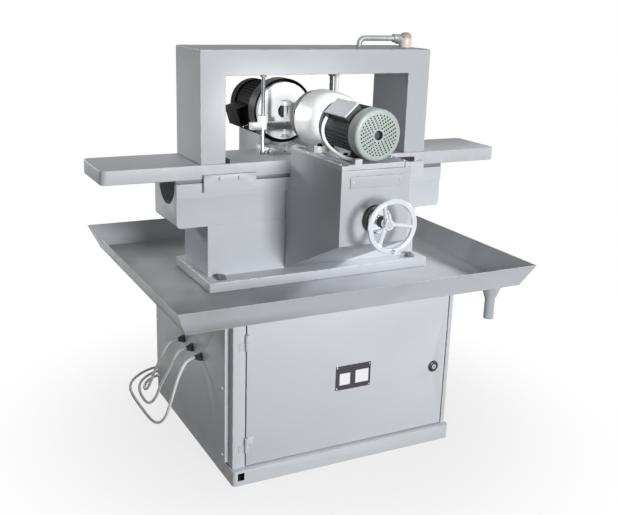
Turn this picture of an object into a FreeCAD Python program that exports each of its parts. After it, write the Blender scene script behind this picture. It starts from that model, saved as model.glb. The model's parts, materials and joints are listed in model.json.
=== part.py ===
import FreeCAD, Part
import math
import os
import Sketcher

# Double-end-face wet grinder: a cabinet with a drip tray carries a bed, a sliding table with a portal on it,
# and two motors that face each other across the table. Millimetres, origin on the floor under the cabinet's
# centre, +X along the table's travel, -Y towards the operator, +Z up.

sizes = {
    # fits and gauges
    "sheet": 2.0,
    "slide_gap": 0.3,
    "shaft_fit": 0.05,
    # plinth and cabinet
    "plinth_width": 802.0,
    "plinth_depth": 762.0,
    "plinth_height": 50.0,
    "plinth_gauge": 4.0,
    "plinth_flange": 60.0,
    "plinth_corner": 12.0,
    "anchor_radius": 7.0,
    "anchor_inset": 36.0,
    "notch_width": 22.0,
    "notch_height": 26.0,
    "cabinet_width": 790.0,
    "cabinet_depth": 722.0,
    "cabinet_top": 564.0,
    "post_width": 41.0,
    "post_depth": 30.0,
    "return_width": 14.0,
    "cover_depth": 14.0,
    "cover_front_inset": 30.0,
    "cover_back_inset": 12.0,
    "cover_end_gap": 12.0,
    # door, hinges, lock and plate
    "door_gap": 4.0,
    "door_depth": 18.0,
    "hinge_pin": 3.0,
    "hinge_radius": 6.0,
    "hinge_length": 50.0,
    "hinge_leaf": 24.0,
    "hinge_low": 127.0,
    "hinge_high": 465.0,
    "lock_inset": 45.0,
    "lock_z": 272.0,
    "lock_bezel": 20.0,
    "lock_bezel_depth": 6.0,
    "lock_barrel": 12.0,
    "lock_barrel_length": 28.0,
    "lock_plug": 8.0,
    "lock_cam_length": 58.0,
    "lock_cam_width": 14.0,
    "lock_cam_depth": 4.0,
    "plate_x": 21.0,
    "plate_z": 291.0,
    "plate_width": 128.0,
    "plate_height": 83.0,
    "plate_depth": 1.5,
    # switchgear and leads
    "panel_depth": 300.0,
    "panel_height": 260.0,
    "panel_z": 210.0,
    "relay_width": 50.0,
    "relay_height": 80.0,
    "relay_depth": 72.0,
    "relay_pitch": 85.0,
    "gland_first": -127.0,
    "gland_pitch": 84.0,
    "gland_z": 338.0,
    "gland_radius": 14.0,
    "gland_nut": 8.0,
    "gland_dome": 14.0,
    "gland_neck": 11.2,
    "gland_mouth": 8.4,
    "lead_radius": 5.0,
    "connector_radius": 16.0,
    "connector_length": 70.0,
    "connector_neck": 8.0,
    "connector_taper": 21.0,
    # drip tray and drain
    "tray_width": 1226.0,
    "tray_depth": 1006.0,
    "tray_flare": 34.0,
    "tray_rim": 71.0,
    "tray_gauge": 3.0,
    "drain_x": 500.0,
    "drain_y": -420.0,
    "drain_flange": 46.0,
    "drain_mouth": 35.0,
    "drain_spout": 17.0,
    "drain_cone": 50.0,
    "drain_length": 68.0,
    # bed
    "slab_length": 800.0,
    "slab_front": 65.0,
    "slab_back": 40.0,
    "slab_height": 33.0,
    "slab_wall": 24.0,
    "bed_front": 117.0,
    "bed_back": 100.0,
    "pedestal_length": 764.0,
    "pedestal_height": 165.0,
    "bed_length": 962.0,
    "bed_height": 137.0,
    "bed_ledge": 45.0,
    "bed_ledge_step": 3.0,
    "bed_corner": 12.0,
    "bed_wall": 20.0,
    "channel_radius": 80.0,
    "channel_centre": 20.0,
    "rail_height": 12.0,
    "rail_front_width": 12.0,
    "rail_back_width": 28.0,
    "rail_inset": 3.0,
    # sliding table and portal
    "table_length": 1418.0,
    "table_front": 118.0,
    "table_back": 104.0,
    "table_height": 44.0,
    "table_corner": 20.0,
    "keeper_length": 172.0,
    "keeper_offset": 312.0,
    "keeper_depth": 13.0,
    "keeper_drop": 39.0,
    "keeper_lap": 14.0,
    "keeper_screw_pitch": 64.0,
    "screw_radius": 7.0,
    "screw_head": 5.0,
    "stop_length": 60.0,
    "stop_height": 14.0,
    "stop_depth": 12.0,
    "stop_x": 330.0,
    "portal_span": 646.0,
    "portal_leg": 81.0,
    "portal_opening": 265.0,
    "portal_beam": 77.0,
    "portal_wall": 8.0,
    # water feed on the portal
    "water_axis": 29.0,
    "water_pipe": 9.0,
    "water_bore": 6.0,
    "water_start": 194.0,
    "water_bend": 20.0,
    "union_x": 325.0,
    "union_length": 28.0,
    "union_radius": 14.0,
    "tap_radius": 21.5,
    "tap_height": 30.0,
    "knob_height": 18.0,
    "tap_inlet": 12.0,
    "knob_radius": 20.0,
    "knob_crown": 16.0,
    "knob_top": 8.0,
    "knob_rim": 8.0,
    "knob_shoulder": 15.0,
    "tail_radius": 8.0,
    "tail_collar": 11.0,
    "tail_collar_depth": 5.0,
    "tail_length": 34.0,
    "tail_bore": 5.0,
    "drop_x": 118.0,
    "drop_radius": 8.0,
    "drop_length": 90.0,
    "nozzle_radius": 4.0,
    "nozzle_length": 26.0,
    "nozzle_flare": 9.6,
    # clamp between portal and table
    "rod_left": -148.0,
    "rod_right": 98.0,
    "rod_radius": 6.0,
    "rod_collar": 11.0,
    "rod_collar_height": 16.0,
    "arm_length": 95.0,
    "arm_back": 42.0,
    "arm_depth": 30.0,
    "arm_height": 22.0,
    "arm_z": 1040.0,
    "arm_boss": 17.0,
    "press_screw": 6.0,
    "press_screw_length": 92.0,
    "press_screw_rise": 52.0,
    "press_knob": 17.0,
    "press_knob_height": 16.0,
    "press_pad": 16.0,
    "press_pad_height": 10.0,
    "press_pad_rim": 6.0,
    "rest_length": 130.0,
    "rest_depth": 110.0,
    "rest_height": 22.0,
    "rest_y": 25.0,
    "vee_depth": 14.0,
    # brackets in front of and behind the bed
    "bracket_width": 232.0,
    "bracket_top": 989.0,
    "bracket_shelf": 862.0,
    "bracket_face": 767.0,
    "bracket_wall": 10.0,
    "bracket_clear": 146.0,
    "front_reach": 477.0,
    "rear_reach": 400.0,
    "rear_width": 130.0,
    "rear_top": 975.0,
    "rear_clear": 218.0,
    "rear_base": 12.0,
    "gib_height": 14.0,
    "carriage_width": 190.0,
    "carriage_front": 474.0,
    "carriage_back": 251.0,
    "carriage_height": 15.7,
    "hood_x": 60.0,
    "hood_width": 24.0,
    "hood_depth": 18.0,
    "hood_height": 15.0,
    "lug_inset": 19.0,
    "lug_width": 26.0,
    "lug_depth": 24.0,
    "lug_height": 20.0,
    "cover_plate_width": 176.0,
    "cover_plate_height": 34.0,
    "cover_plate_depth": 3.0,
    "cover_plate_drop": 18.0,
    # feed screw and handwheel
    "feed_z": 843.0,
    "feed_radius": 10.0,
    "feed_tail": 270.0,
    "feed_back_limit": 20.0,
    "feed_limit": 30.0,
    "nut_y": 360.0,
    "nut_length": 30.0,
    "nut_half": 18.0,
    "arm_half": 12.0,
    "flange_radius": 42.0,
    "flange_depth": 15.0,
    "bush_radius": 18.0,
    "dial_radius": 36.0,
    "dial_depth": 20.0,
    "dial_gap": 1.0,
    "sleeve_depth": 22.0,
    "sleeve_radius": 17.0,
    "wheel_hub": 15.0,
    "wheel_hub_depth": 26.0,
    "wheel_radius": 80.0,
    "wheel_rim": 8.0,
    "wheel_dish": 40.0,
    "spoke_radius": 6.5,
    "spoke_turn": 25.0,
    "grip_radius": 6.0,
    "grip_length": 16.0,
    # grinding heads
    "motor_height": 80.0,
    "rear_motor_height": 88.0,
    "rear_motor_radius": 80.0,
    "rear_cover_radius": 86.0,
    "motor_radius": 70.0,
    "motor_length": 165.0,
    "motor_bore": 56.0,
    "motor_web": 10.0,
    "foot_width": 124.0,
    "foot_length": 100.0,
    "foot_height": 12.0,
    "foot_stem": 90.0,
    "shield_depth": 15.0,
    "cover_length": 45.0,
    "cover_radius": 75.0,
    "cover_gauge": 1.5,
    "cover_hole": 14.0,
    "fan_radius": 62.0,
    "fan_depth": 14.0,
    "shaft_radius": 12.0,
    "spigot_radius": 9.0,
    "rotor_radius": 50.0,
    "rotor_length": 110.0,
    "ring_radius": 86.0,
    "rear_ring_radius": 98.0,
    "ring_bore": 24.0,
    "ring_depth": 20.0,
    "hub_margin": 2.0,
    "hub_depth": 34.0,
    "hub_sleeve": 20.0,
    "hub_sleeve_depth": 8.0,
    "arbor_radius": 14.0,
    "arbor_depth": 10.0,
    "front_face": 78.0,
    "rear_face": 150.0,
    "front_overhang": 172.0,
    "rear_overhang": 64.0,
    "guard_radius": 94.0,
    "guard_setback": 42.0,
    "guard_straight": 62.0,
    "guard_gauge": 3.0,
    "guard_lip": 14.0,
    "rear_guard_radius": 110.0,
    "rear_guard_setback": 8.0,
    "front_terminal_length": 120.0,
    "front_terminal_width": 56.0,
    "front_terminal_height": 16.0,
    "rear_terminal_length": 110.0,
    "rear_terminal_width": 66.0,
    "rear_terminal_height": 38.0,
    "terminal_lid": 5.0,
    "terminal_lap": 2.0,
    "terminal_gland": 7.0,
    "terminal_gland_length": 10.0,
    "terminal_gland_shift": 48.0,
    "front_terminal_mid": 280.0,
    "rear_terminal_mid": 184.0,
    "front_terminal_turn": 42.0,
    "rear_terminal_turn": 108.0,
}

# each lead leaves its gland, droops to the floor and runs round behind the cabinet
lead_routes = {
    "supply_lead_front": [
        (-471, -127, 337), (-497, -127, 305), (-504, -123, 260), (-505, -106, 208), (-505, -80, 157),
        (-503, -45, 110), (-502, 0, 69), (-502, 52, 36), (-502, 110, 14), (-502, 172, 6), (-503, 236, 5),
        (-504, 300, 5), (-503, 364, 5), (-496, 427, 5), (-472, 486, 5), (-426, 532, 8), (-366, 554, 16)],
    "supply_lead_middle": [
        (-471, -43, 337), (-497, -43, 305), (-505, -34, 261), (-506, -8, 216), (-502, 28, 176),
        (-498, 68, 137), (-494, 112, 100), (-489, 160, 66), (-484, 212, 36), (-480, 268, 15),
        (-476, 327, 6), (-470, 386, 5), (-454, 444, 5), (-420, 494, 6), (-368, 516, 16)],
    "supply_lead_back": [
        (-471, 41, 337), (-497, 41, 305), (-503, 51, 262), (-501, 80, 223), (-497, 116, 188),
        (-491, 156, 153), (-484, 200, 118), (-476, 248, 83), (-467, 300, 50), (-458, 354, 24),
        (-446, 407, 9), (-422, 454, 8), (-376, 478, 16)],
}
motor_lead_route = [
    (-107, -317, 1066), (-99, -337, 1040), (-87, -366, 1022), (-73, -398, 1012.6), (-60, -430, 1012.5)]
# share of each straight run that a lead's bend may use
bend_share = 0.45
# straight steps that round the front guard's bell
bell_steps = 6
lead_tail = 46.0
motor_lead_lift = 30.0


class Size:
    # A length together with the expression that works it out from the sheet.
    def __init__(self, value, text):
        self.value = float(value)
        self.text = text

    def __add__(self, other):
        other = as_size(other)
        return Size(self.value + other.value, f"({self.text} + {other.text})")

    def __radd__(self, other):
        return as_size(other) + self

    def __sub__(self, other):
        other = as_size(other)
        return Size(self.value - other.value, f"({self.text} - {other.text})")

    def __rsub__(self, other):
        return as_size(other) - self

    def __mul__(self, other):
        other = as_size(other)
        return Size(self.value * other.value, f"({self.text} * {other.text})")

    def __rmul__(self, other):
        return as_size(other) * self

    def __truediv__(self, other):
        other = as_size(other)
        return Size(self.value / other.value, f"({self.text} / {other.text})")

    def __neg__(self):
        return Size(-self.value, f"(0 - {self.text})")


class Sheet:
    # Reads a named size as an attribute.
    def __getattr__(self, name):
        return Size(sizes[name], "Sizes." + name)


def as_size(value):
    if isinstance(value, Size):
        return value
    return Size(value, repr(float(value)))


doc = FreeCAD.newDocument("EndFaceGrinder")
table = doc.addObject("Spreadsheet::Sheet", "Sizes")
for row, (alias, number) in enumerate(sizes.items(), start=1):
    table.set(f"A{row}", alias)
    table.set(f"B{row}", str(number))
    table.setAlias(f"B{row}", alias)
doc.recompute()
s = Sheet()
nodes = []
upright = FreeCAD.Rotation()
turns = {
    "Z": upright,
    "-Z": FreeCAD.Rotation(FreeCAD.Vector(1, 0, 0), 180),
    "Y": FreeCAD.Rotation(FreeCAD.Vector(1, 0, 0), -90),
    "-Y": FreeCAD.Rotation(FreeCAD.Vector(1, 0, 0), 90),
    "X": FreeCAD.Rotation(FreeCAD.Vector(0, 1, 0), 90),
    "-X": FreeCAD.Rotation(FreeCAD.Vector(0, 1, 0), -90),
}
views = {
    "top": upright,
    "front": FreeCAD.Rotation(FreeCAD.Vector(1, 0, 0), 90),
    "side": FreeCAD.Rotation(FreeCAD.Vector(1, 1, 1), 120),
}


def bind(thing, **properties):
    for name, size in properties.items():
        thing.setExpression(name, as_size(size).text)


def place(thing, at, turn=upright):
    spots = [as_size(value) for value in at]
    thing.Placement = FreeCAD.Placement(FreeCAD.Vector(*[spot.value for spot in spots]), turn)
    for letter, spot in zip("xyz", spots):
        thing.setExpression("Placement.Base." + letter, spot.text)
    return thing


def box(label, low, high):
    thing = doc.addObject("Part::Box", label)
    bind(thing, Length=high[0] - as_size(low[0]), Width=high[1] - as_size(low[1]),
         Height=high[2] - as_size(low[2]))
    return place(thing, low)


def rod(label, radius, length, at, axis="Z"):
    thing = doc.addObject("Part::Cylinder", label)
    bind(thing, Radius=radius, Height=length)
    return place(thing, at, turns[axis])


def cut(label, base, *tools):
    thing = doc.addObject("Part::Cut", label)
    thing.Base = base
    thing.Tool = tools[0] if len(tools) == 1 else group(label + "_tools", *tools)
    return thing


def fuse(label, *pieces):
    thing = doc.addObject("Part::MultiFuse", label)
    thing.Shapes = list(pieces)
    return thing


def group(label, *pieces):
    thing = doc.addObject("Part::Compound", label)
    thing.Links = list(pieces)
    return thing


def node(label, thing):
    thing.Label = label
    nodes.append(thing)
    return thing


def origin_plane(body, role):
    return next(plane for plane in body.Origin.OriginFeatures if plane.Role == role)


def outline(body, name, points, role, lift=None):
    sketch = body.newObject("Sketcher::SketchObject", name)
    sketch.AttachmentSupport = [(origin_plane(body, role), "")]
    sketch.MapMode = "FlatFace"
    if lift is not None:
        sketch.setExpression("AttachmentOffset.Base.z", as_size(lift).text)
    spots = [(as_size(across), as_size(along)) for across, along in points]
    corners = [FreeCAD.Vector(across.value, along.value, 0) for across, along in spots]
    for index, corner in enumerate(corners):
        sketch.addGeometry(Part.LineSegment(corner, corners[(index + 1) % len(corners)]), False)
    for index in range(len(corners)):
        sketch.addConstraint(Sketcher.Constraint("Coincident", index, 2, (index + 1) % len(corners), 1))
    for index, pair in enumerate(spots):
        for kind, spot in zip(("DistanceX", "DistanceY"), pair):
            added = sketch.addConstraint(Sketcher.Constraint(kind, -1, 1, index, 1, spot.value))
            sketch.setExpression(f"Constraints[{added}]", spot.text)
    return sketch


def turned(label, profile, at, axis="Z"):
    # a profile of radius and height pairs, turned about its own upright axis
    body = doc.addObject("PartDesign::Body", label)
    sketch = outline(body, label + "_profile", profile, "XZ_Plane")
    feature = body.newObject("PartDesign::Revolution", label + "_turning")
    feature.Profile = sketch
    feature.ReferenceAxis = (sketch, ["V_Axis"])
    feature.Angle = 360
    body.Tip = feature
    return place(body, at, turns[axis])


def ring(label, outer, inner, length, at, axis="Z"):
    return turned(label, [(inner, 0), (outer, 0), (outer, length), (inner, length)], at, axis)


def prism(label, points, length, at, view, rounded=(), radius=None):
    # an outline drawn in the named view and padded at right angles to it, with some corners rounded
    body = doc.addObject("PartDesign::Body", label)
    sketch = outline(body, label + "_outline", points, "XY_Plane")
    feature = body.newObject("PartDesign::Pad", label + "_pad")
    feature.Profile = sketch
    bind(feature, Length=length)
    body.Tip = feature
    if rounded:
        doc.recompute()
        corners = [(as_size(points[index][0]).value, as_size(points[index][1]).value) for index in rounded]
        names = []
        for index, edge in enumerate(feature.Shape.Edges, start=1):
            start, end = (vertex.Point for vertex in edge.Vertexes)
            upright_edge = math.hypot(start.x - end.x, start.y - end.y) < 1e-6
            if upright_edge and any(math.hypot(start.x - x, start.y - y) < 1e-6 for x, y in corners):
                names.append(f"Edge{index}")
        fillet = body.newObject("PartDesign::Fillet", label + "_fillet")
        fillet.Base = (feature, names)
        bind(fillet, Radius=radius)
        body.Tip = fillet
    return place(body, at, views[view])


def loft(label, low, low_z, high, high_z):
    # a block between two level rectangles given as (x0, x1, y0, y1)
    body = doc.addObject("PartDesign::Body", label)
    sections = []
    for name, (x0, x1, y0, y1), z in (("low", low, low_z), ("high", high, high_z)):
        corners = [(x0, y0), (x1, y0), (x1, y1), (x0, y1)]
        sections.append(outline(body, f"{label}_{name}", corners, "XY_Plane", z))
    feature = body.newObject("PartDesign::AdditiveLoft", label + "_loft")
    feature.Profile = sections[0]
    feature.Sections = [sections[1]]
    feature.Ruled = True
    body.Tip = feature
    return body


def tube_path(points):
    # straight runs joined by tangent arcs, each arc as large as its two runs allow
    spots = [FreeCAD.Vector(*point) for point in points]
    edges = []
    radii = []
    start = spots[0]
    for before, here, after in zip(spots, spots[1:], spots[2:]):
        back = (before - here).normalize()
        ahead = (after - here).normalize()
        half_turn = (math.pi - back.getAngle(ahead)) / 2
        reach = bend_share * min((before - here).Length, (after - here).Length)
        radius = reach / math.tan(half_turn)
        radii.append(radius)
        first = here + back * reach
        last = here + ahead * reach
        to_centre = (back + ahead).normalize()
        middle = here + to_centre * (radius / math.cos(half_turn) - radius)
        edges.append(Part.LineSegment(start, first).toShape())
        edges.append(Part.Arc(first, middle, last).toShape())
        start = last
    edges.append(Part.LineSegment(start, spots[-1]).toShape())
    return Part.Wire(edges), radii


def cord(label, points, radius):
    wire, radii = tube_path(points)
    start = FreeCAD.Vector(*points[0])
    heading = FreeCAD.Vector(*points[1]) - start
    section = Part.Wire(Part.Circle(start, heading, radius).toShape())
    solid = wire.makePipeShell([section], True, False)
    length = wire.Length
    expected = math.pi * radius ** 2 * length
    share = solid.Volume / expected
    print(f"{label}: length {length:.0f}, least bend {min(radii):.0f}, volume ratio {share:.5f}")
    thing = doc.addObject("Part::Feature", label)
    thing.Shape = solid
    thing.Placement = FreeCAD.Placement()
    return thing


def make_plinth():
    half_x = s.plinth_width / 2
    half_y = s.plinth_depth / 2
    corners = [(-half_x, -half_y), (half_x, -half_y), (half_x, half_y), (-half_x, half_y)]
    block = prism("plinth_block", corners, s.plinth_height, (0, 0, 0), "top", range(4), s.plinth_corner)
    well_x = s.cabinet_width / 2 - s.plinth_flange
    well_y = s.cabinet_depth / 2 - s.plinth_flange
    well = box("plinth_well", (-well_x, -well_y, -s.sheet), (well_x, well_y, s.plinth_height + s.sheet))
    inner_x = half_x - s.plinth_gauge
    inner_y = half_y - s.plinth_gauge
    hollow = box("plinth_hollow", (-inner_x, -inner_y, s.plinth_gauge),
                 (inner_x, inner_y, s.plinth_height - s.plinth_gauge))
    notch_x = -half_x + s.plinth_corner + s.plinth_gauge
    notch_z = s.plinth_height - 2 * s.plinth_gauge
    notch = box("plinth_notch", (notch_x, -half_y - s.sheet, notch_z - s.notch_height),
                (notch_x + s.notch_width, -half_y + s.plinth_flange / 2, notch_z))
    holes = []
    for side_x in (-1, 1):
        for side_y in (-1, 1):
            spot = (side_x * (half_x - s.anchor_inset), side_y * (half_y - s.anchor_inset), -s.sheet)
            holes.append(rod("anchor_hole", s.anchor_radius, s.plinth_gauge + 2 * s.sheet, spot))
    node("base_plinth", cut("base_plinth", block, well, hollow, notch, *holes))


def make_cabinet():
    half_x = s.cabinet_width / 2
    half_y = s.cabinet_depth / 2
    low = s.plinth_height
    high = s.cabinet_top
    post_back = -half_y + s.post_depth
    post = box("post_block", (-half_x, -half_y, low), (-half_x + s.post_width, post_back, high - s.sheet))
    bore = box("post_bore", (-half_x + s.sheet, -half_y + s.sheet, low - s.sheet),
               (-half_x + s.post_width - s.sheet, post_back - s.sheet, high))
    left = box("left_sheet", (-half_x, post_back, low), (-half_x + s.sheet, half_y, high - s.sheet))
    wall = box("right_sheet", (half_x - s.sheet, -half_y, low), (half_x, half_y, high - s.sheet))
    lip_x = half_x - s.return_width
    lip = box("right_lip", (lip_x, -half_y, low), (half_x, -half_y + s.sheet, high - s.sheet))
    strike = box("right_strike", (lip_x, -half_y, low),
                 (lip_x + s.sheet, -half_y + s.lock_barrel_length - s.slide_gap, high - s.sheet))
    back_sheet = box("back_sheet", (-half_x, half_y - s.sheet, low), (half_x, half_y, high - s.sheet))
    deck = box("deck_sheet", (-half_x, -half_y, high - s.sheet), (half_x, half_y, high))
    rail = box("deck_rail", (-half_x + s.post_width, -half_y, high - s.return_width),
               (half_x - s.return_width, -half_y + s.sheet, high))
    hinge_post = cut("hinge_post", post, bore)
    node("cabinet_shell",
         fuse("cabinet_shell", hinge_post, left, wall, lip, strike, back_sheet, deck, rail))
    cover_x = -half_x - s.cover_depth
    front = -half_y + s.cover_front_inset
    back = half_y - s.cover_back_inset
    shell = box("cover_shell", (cover_x, front, low + s.cover_end_gap),
                (-half_x, back, high - s.cover_end_gap))
    inside = box("cover_inside", (cover_x + s.sheet, front + s.sheet, low + s.cover_end_gap + s.sheet),
                 (-half_x + s.sheet, back - s.sheet, high - s.cover_end_gap - s.sheet))
    bores = [rod("gland_bore", s.lead_radius, 2 * s.sheet, (cover_x - s.sheet / 2, y, s.gland_z), "X")
             for y in gland_spots()]
    node("side_cover", cut("side_cover", shell, inside, *bores))


def gland_spots():
    return [s.gland_first + index * s.gland_pitch for index in range(len(lead_routes))]


def make_leads():
    cover_x = -s.cabinet_width / 2 - s.cover_depth
    reach = s.gland_nut + s.gland_dome
    glands = []
    plugs = []
    for (label, route), y in zip(lead_routes.items(), gland_spots()):
        profile = [(s.lead_radius, 0), (s.gland_radius, 0), (s.gland_radius, s.gland_nut),
                   (s.gland_neck, s.gland_nut), (s.gland_mouth, reach), (s.lead_radius, reach)]
        glands.append(turned("gland_" + label, profile, (cover_x, y, s.gland_z), "-X"))
        start = (cover_x.value - reach.value, y.value, s.gland_z.value)
        last = route[-1]
        end = (last[0] + lead_tail, last[1], last[2])
        node(label, cord(label, [start] + route + [end], s.lead_radius.value))
        body = [(0, 0), (s.connector_neck, 0), (s.connector_radius, s.connector_taper),
                (s.connector_radius, s.connector_length), (0, s.connector_length)]
        plugs.append(turned("plug_" + label, body, end, "X"))
    node("cable_glands", group("cable_glands", *glands))
    node("lead_connectors", group("lead_connectors", *plugs))


def make_switchgear():
    inner = -s.cabinet_width / 2 + s.sheet
    half = s.panel_depth / 2
    relays = [box("switch_plate", (inner, -half, s.panel_z),
                  (inner + s.sheet, half, s.panel_z + s.panel_height))]
    for index in (-1, 0, 1):
        y = index * s.relay_pitch - s.relay_width / 2
        z = s.panel_z + (s.panel_height - s.relay_height) / 2
        relays.append(box("relay", (inner + s.sheet, y, z),
                          (inner + s.sheet + s.relay_depth, y + s.relay_width, z + s.relay_height)))
    node("switchgear", fuse("switchgear", *relays))


def hinge_axis():
    x = -s.cabinet_width / 2 + s.post_width + s.door_gap / 2
    y = -s.cabinet_depth / 2 - s.hinge_radius
    return x, y


def make_door():
    face = -s.cabinet_depth / 2
    left = -s.cabinet_width / 2 + s.post_width + s.door_gap
    right = s.cabinet_width / 2 - s.return_width - s.door_gap
    low = s.plinth_height + s.door_gap
    high = s.cabinet_top - s.return_width - s.door_gap
    pan = box("door_pan", (left, face, low), (right, face + s.door_depth, high))
    hollow = box("door_hollow", (left + s.sheet, face + s.sheet, low + s.sheet),
                 (right - s.sheet, face + s.door_depth + s.sheet, high - s.sheet))
    lock_x = right - s.lock_inset
    bore = rod("door_lock_bore", s.lock_barrel, 2 * s.sheet, (lock_x, face - s.sheet / 2, s.lock_z), "Y")
    node("door_panel", cut("door_panel", pan, hollow, bore))
    plate_y = face - s.plate_depth
    plate_low = s.plate_z - s.plate_height / 2
    plate_high = s.plate_z + s.plate_height / 2
    node("blank_plate", box("blank_plate", (s.plate_x - s.plate_width / 2, plate_y, plate_low),
                            (s.plate_x + s.plate_width / 2, face, plate_high)))
    x, y = hinge_axis()
    fixed = []
    moving = []
    half = s.hinge_length / 2
    for z in (s.hinge_low, s.hinge_high):
        barrel = ring("knuckle_low", s.hinge_radius, s.hinge_pin, half, (x, y, z - half))
        leaf = box("leaf_low", (x - s.hinge_leaf, face - s.sheet, z - half), (x, face, z))
        pin = rod("hinge_pin", s.hinge_pin, s.hinge_length, (x, y, z - half))
        fixed.append(fuse("hinge_low", barrel, leaf, pin))
        upper = ring("knuckle_high", s.hinge_radius, s.hinge_pin + s.shaft_fit, half - s.slide_gap,
                     (x, y, z + s.slide_gap))
        plate = box("leaf_high", (x, face - s.sheet, z + s.slide_gap), (x + s.hinge_leaf, face, z + half))
        core = rod("knuckle_core", s.hinge_pin + s.shaft_fit, s.hinge_length, (x, y, z - half))
        moving.append(cut("hinge_high", fuse("knuckle_leaf", upper, plate), core))
    node("post_hinges", group("post_hinges", *fixed))
    node("door_hinges", group("door_hinges", *moving))
    bezel = [(s.lock_plug + s.shaft_fit, -s.lock_bezel_depth), (s.lock_bezel, -s.lock_bezel_depth),
             (s.lock_bezel, 0), (s.lock_barrel, 0), (s.lock_barrel, s.lock_barrel_length),
             (s.lock_plug + s.shaft_fit, s.lock_barrel_length)]
    node("lock_body", turned("lock_body", bezel, (lock_x, face, s.lock_z), "Y"))
    plug_length = s.lock_bezel_depth + s.lock_barrel_length + s.slide_gap + s.lock_cam_depth
    plug = rod("lock_plug_rod", s.lock_plug, plug_length, (lock_x, face - s.lock_bezel_depth, s.lock_z), "Y")
    cam_y = face + s.lock_barrel_length + s.slide_gap
    half_cam = s.lock_cam_width / 2
    cam = box("lock_cam_bar", (lock_x - half_cam, cam_y, s.lock_z - half_cam),
              (lock_x + half_cam, cam_y + s.lock_cam_depth, s.lock_z + s.lock_cam_length))
    node("lock_cam", fuse("lock_cam", plug, cam))


def tray_levels():
    floor_top = s.cabinet_top + s.tray_gauge
    return s.cabinet_top, floor_top, floor_top + s.tray_rim


def make_tray():
    low, floor_top, high = tray_levels()
    top_x = s.tray_width / 2
    top_y = s.tray_depth / 2
    foot_x = top_x - s.tray_flare
    foot_y = top_y - s.tray_flare
    sheet_block = box("tray_sheet", (-foot_x, -foot_y, low), (foot_x, foot_y, floor_top))
    hole = rod("drain_hole", s.drain_mouth - s.tray_gauge, 3 * s.tray_gauge,
               (s.drain_x, s.drain_y, low - s.tray_gauge))
    walls = [cut("tray_floor", sheet_block, hole)]
    for side, label in ((-1, "tray_front"), (1, "tray_back")):
        inner, outer = side * (foot_y - s.tray_gauge), side * foot_y
        lip_in, lip_out = side * (top_y - s.tray_gauge), side * top_y
        walls.append(loft(label, (-foot_x, foot_x, *ordered(inner, outer)), floor_top,
                          (-top_x, top_x, *ordered(lip_in, lip_out)), high))
    for side, label in ((-1, "tray_left"), (1, "tray_right")):
        inner, outer = side * (foot_x - s.tray_gauge), side * foot_x
        lip_in, lip_out = side * (top_x - s.tray_gauge), side * top_x
        end_low = foot_y - s.tray_gauge
        end_high = top_y - s.tray_gauge
        walls.append(loft(label, (*ordered(inner, outer), -end_low, end_low), floor_top,
                          (*ordered(lip_in, lip_out), -end_high, end_high), high))
    node("drip_tray", fuse("drip_tray", *walls))
    mouth = s.drain_mouth - s.tray_gauge
    bore = s.drain_spout - s.tray_gauge
    neck = s.tray_gauge + s.drain_cone
    end = neck + s.drain_length
    profile = [(mouth, 0), (s.drain_flange, 0), (s.drain_flange, s.tray_gauge), (s.drain_mouth, s.tray_gauge),
               (s.drain_spout, neck), (s.drain_spout, end), (bore, end), (bore, neck)]
    node("drain_funnel", turned("drain_funnel", profile, (s.drain_x, s.drain_y, low), "-Z"))


def ordered(first, second):
    return (first, second) if first.value < second.value else (second, first)


def bed_levels():
    slab_top = tray_levels()[1] + s.slab_height
    foot = slab_top + s.pedestal_height
    top = foot + s.bed_height
    return slab_top, foot, top


def table_levels():
    low = bed_levels()[2] + s.rail_height
    return low, low + s.table_height


def make_bed():
    floor_top = tray_levels()[1]
    slab_top, foot, top = bed_levels()
    half = s.slab_length / 2
    front = -s.bed_front - s.slab_front
    back = s.bed_back + s.slab_back
    slab = box("slab_block", (-half, front, floor_top), (half, back, slab_top))
    relief = box("slab_relief", (-half + s.slab_wall, front + s.slab_wall, floor_top - s.sheet),
                 (half - s.slab_wall, back - s.slab_wall, slab_top - s.slab_wall / 2))
    node("base_slab", cut("base_slab", slab, relief))
    long_half = s.bed_length / 2
    corners = [(-long_half, foot), (long_half, foot), (long_half, top), (-long_half, top)]
    upper = prism("bed_upper", corners, s.bed_front + s.bed_back, (0, s.bed_back, 0), "front", (0, 1),
                  s.bed_corner)
    short_half = s.pedestal_length / 2
    column = box("bed_column", (-short_half, -s.bed_front, slab_top),
                 (short_half, s.bed_back, foot + s.sheet))
    channel = rod("bed_channel", s.channel_radius, s.bed_length + 2 * s.bed_wall,
                  (-long_half - s.bed_wall, -s.channel_centre, top + s.sheet), "X")
    hollow = box("bed_hollow", (-short_half + s.bed_wall, -s.bed_front + s.bed_wall, slab_top - s.sheet),
                 (short_half - s.bed_wall, s.bed_back - s.bed_wall, top - s.channel_radius - s.bed_wall))
    ledge = box("bed_ledge_cut", (-long_half - s.sheet, -s.bed_front - s.sheet, foot + s.sheet),
                (long_half + s.sheet, -s.bed_front + s.bed_ledge_step, top - s.bed_ledge))
    node("bed_casting", cut("bed_casting", fuse("bed_blank", upper, column), channel, hollow, ledge))
    rail_top = top + s.rail_height - s.slide_gap
    front_y = -s.bed_front + s.rail_inset
    back_y = s.bed_back - s.rail_inset
    front_rail = box("rail_front", (-long_half, front_y, top),
                     (long_half, front_y + s.rail_front_width, rail_top))
    back_rail = box("rail_back", (-long_half, back_y - s.rail_back_width, top), (long_half, back_y, rail_top))
    node("guide_rails", group("guide_rails", front_rail, back_rail))


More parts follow.
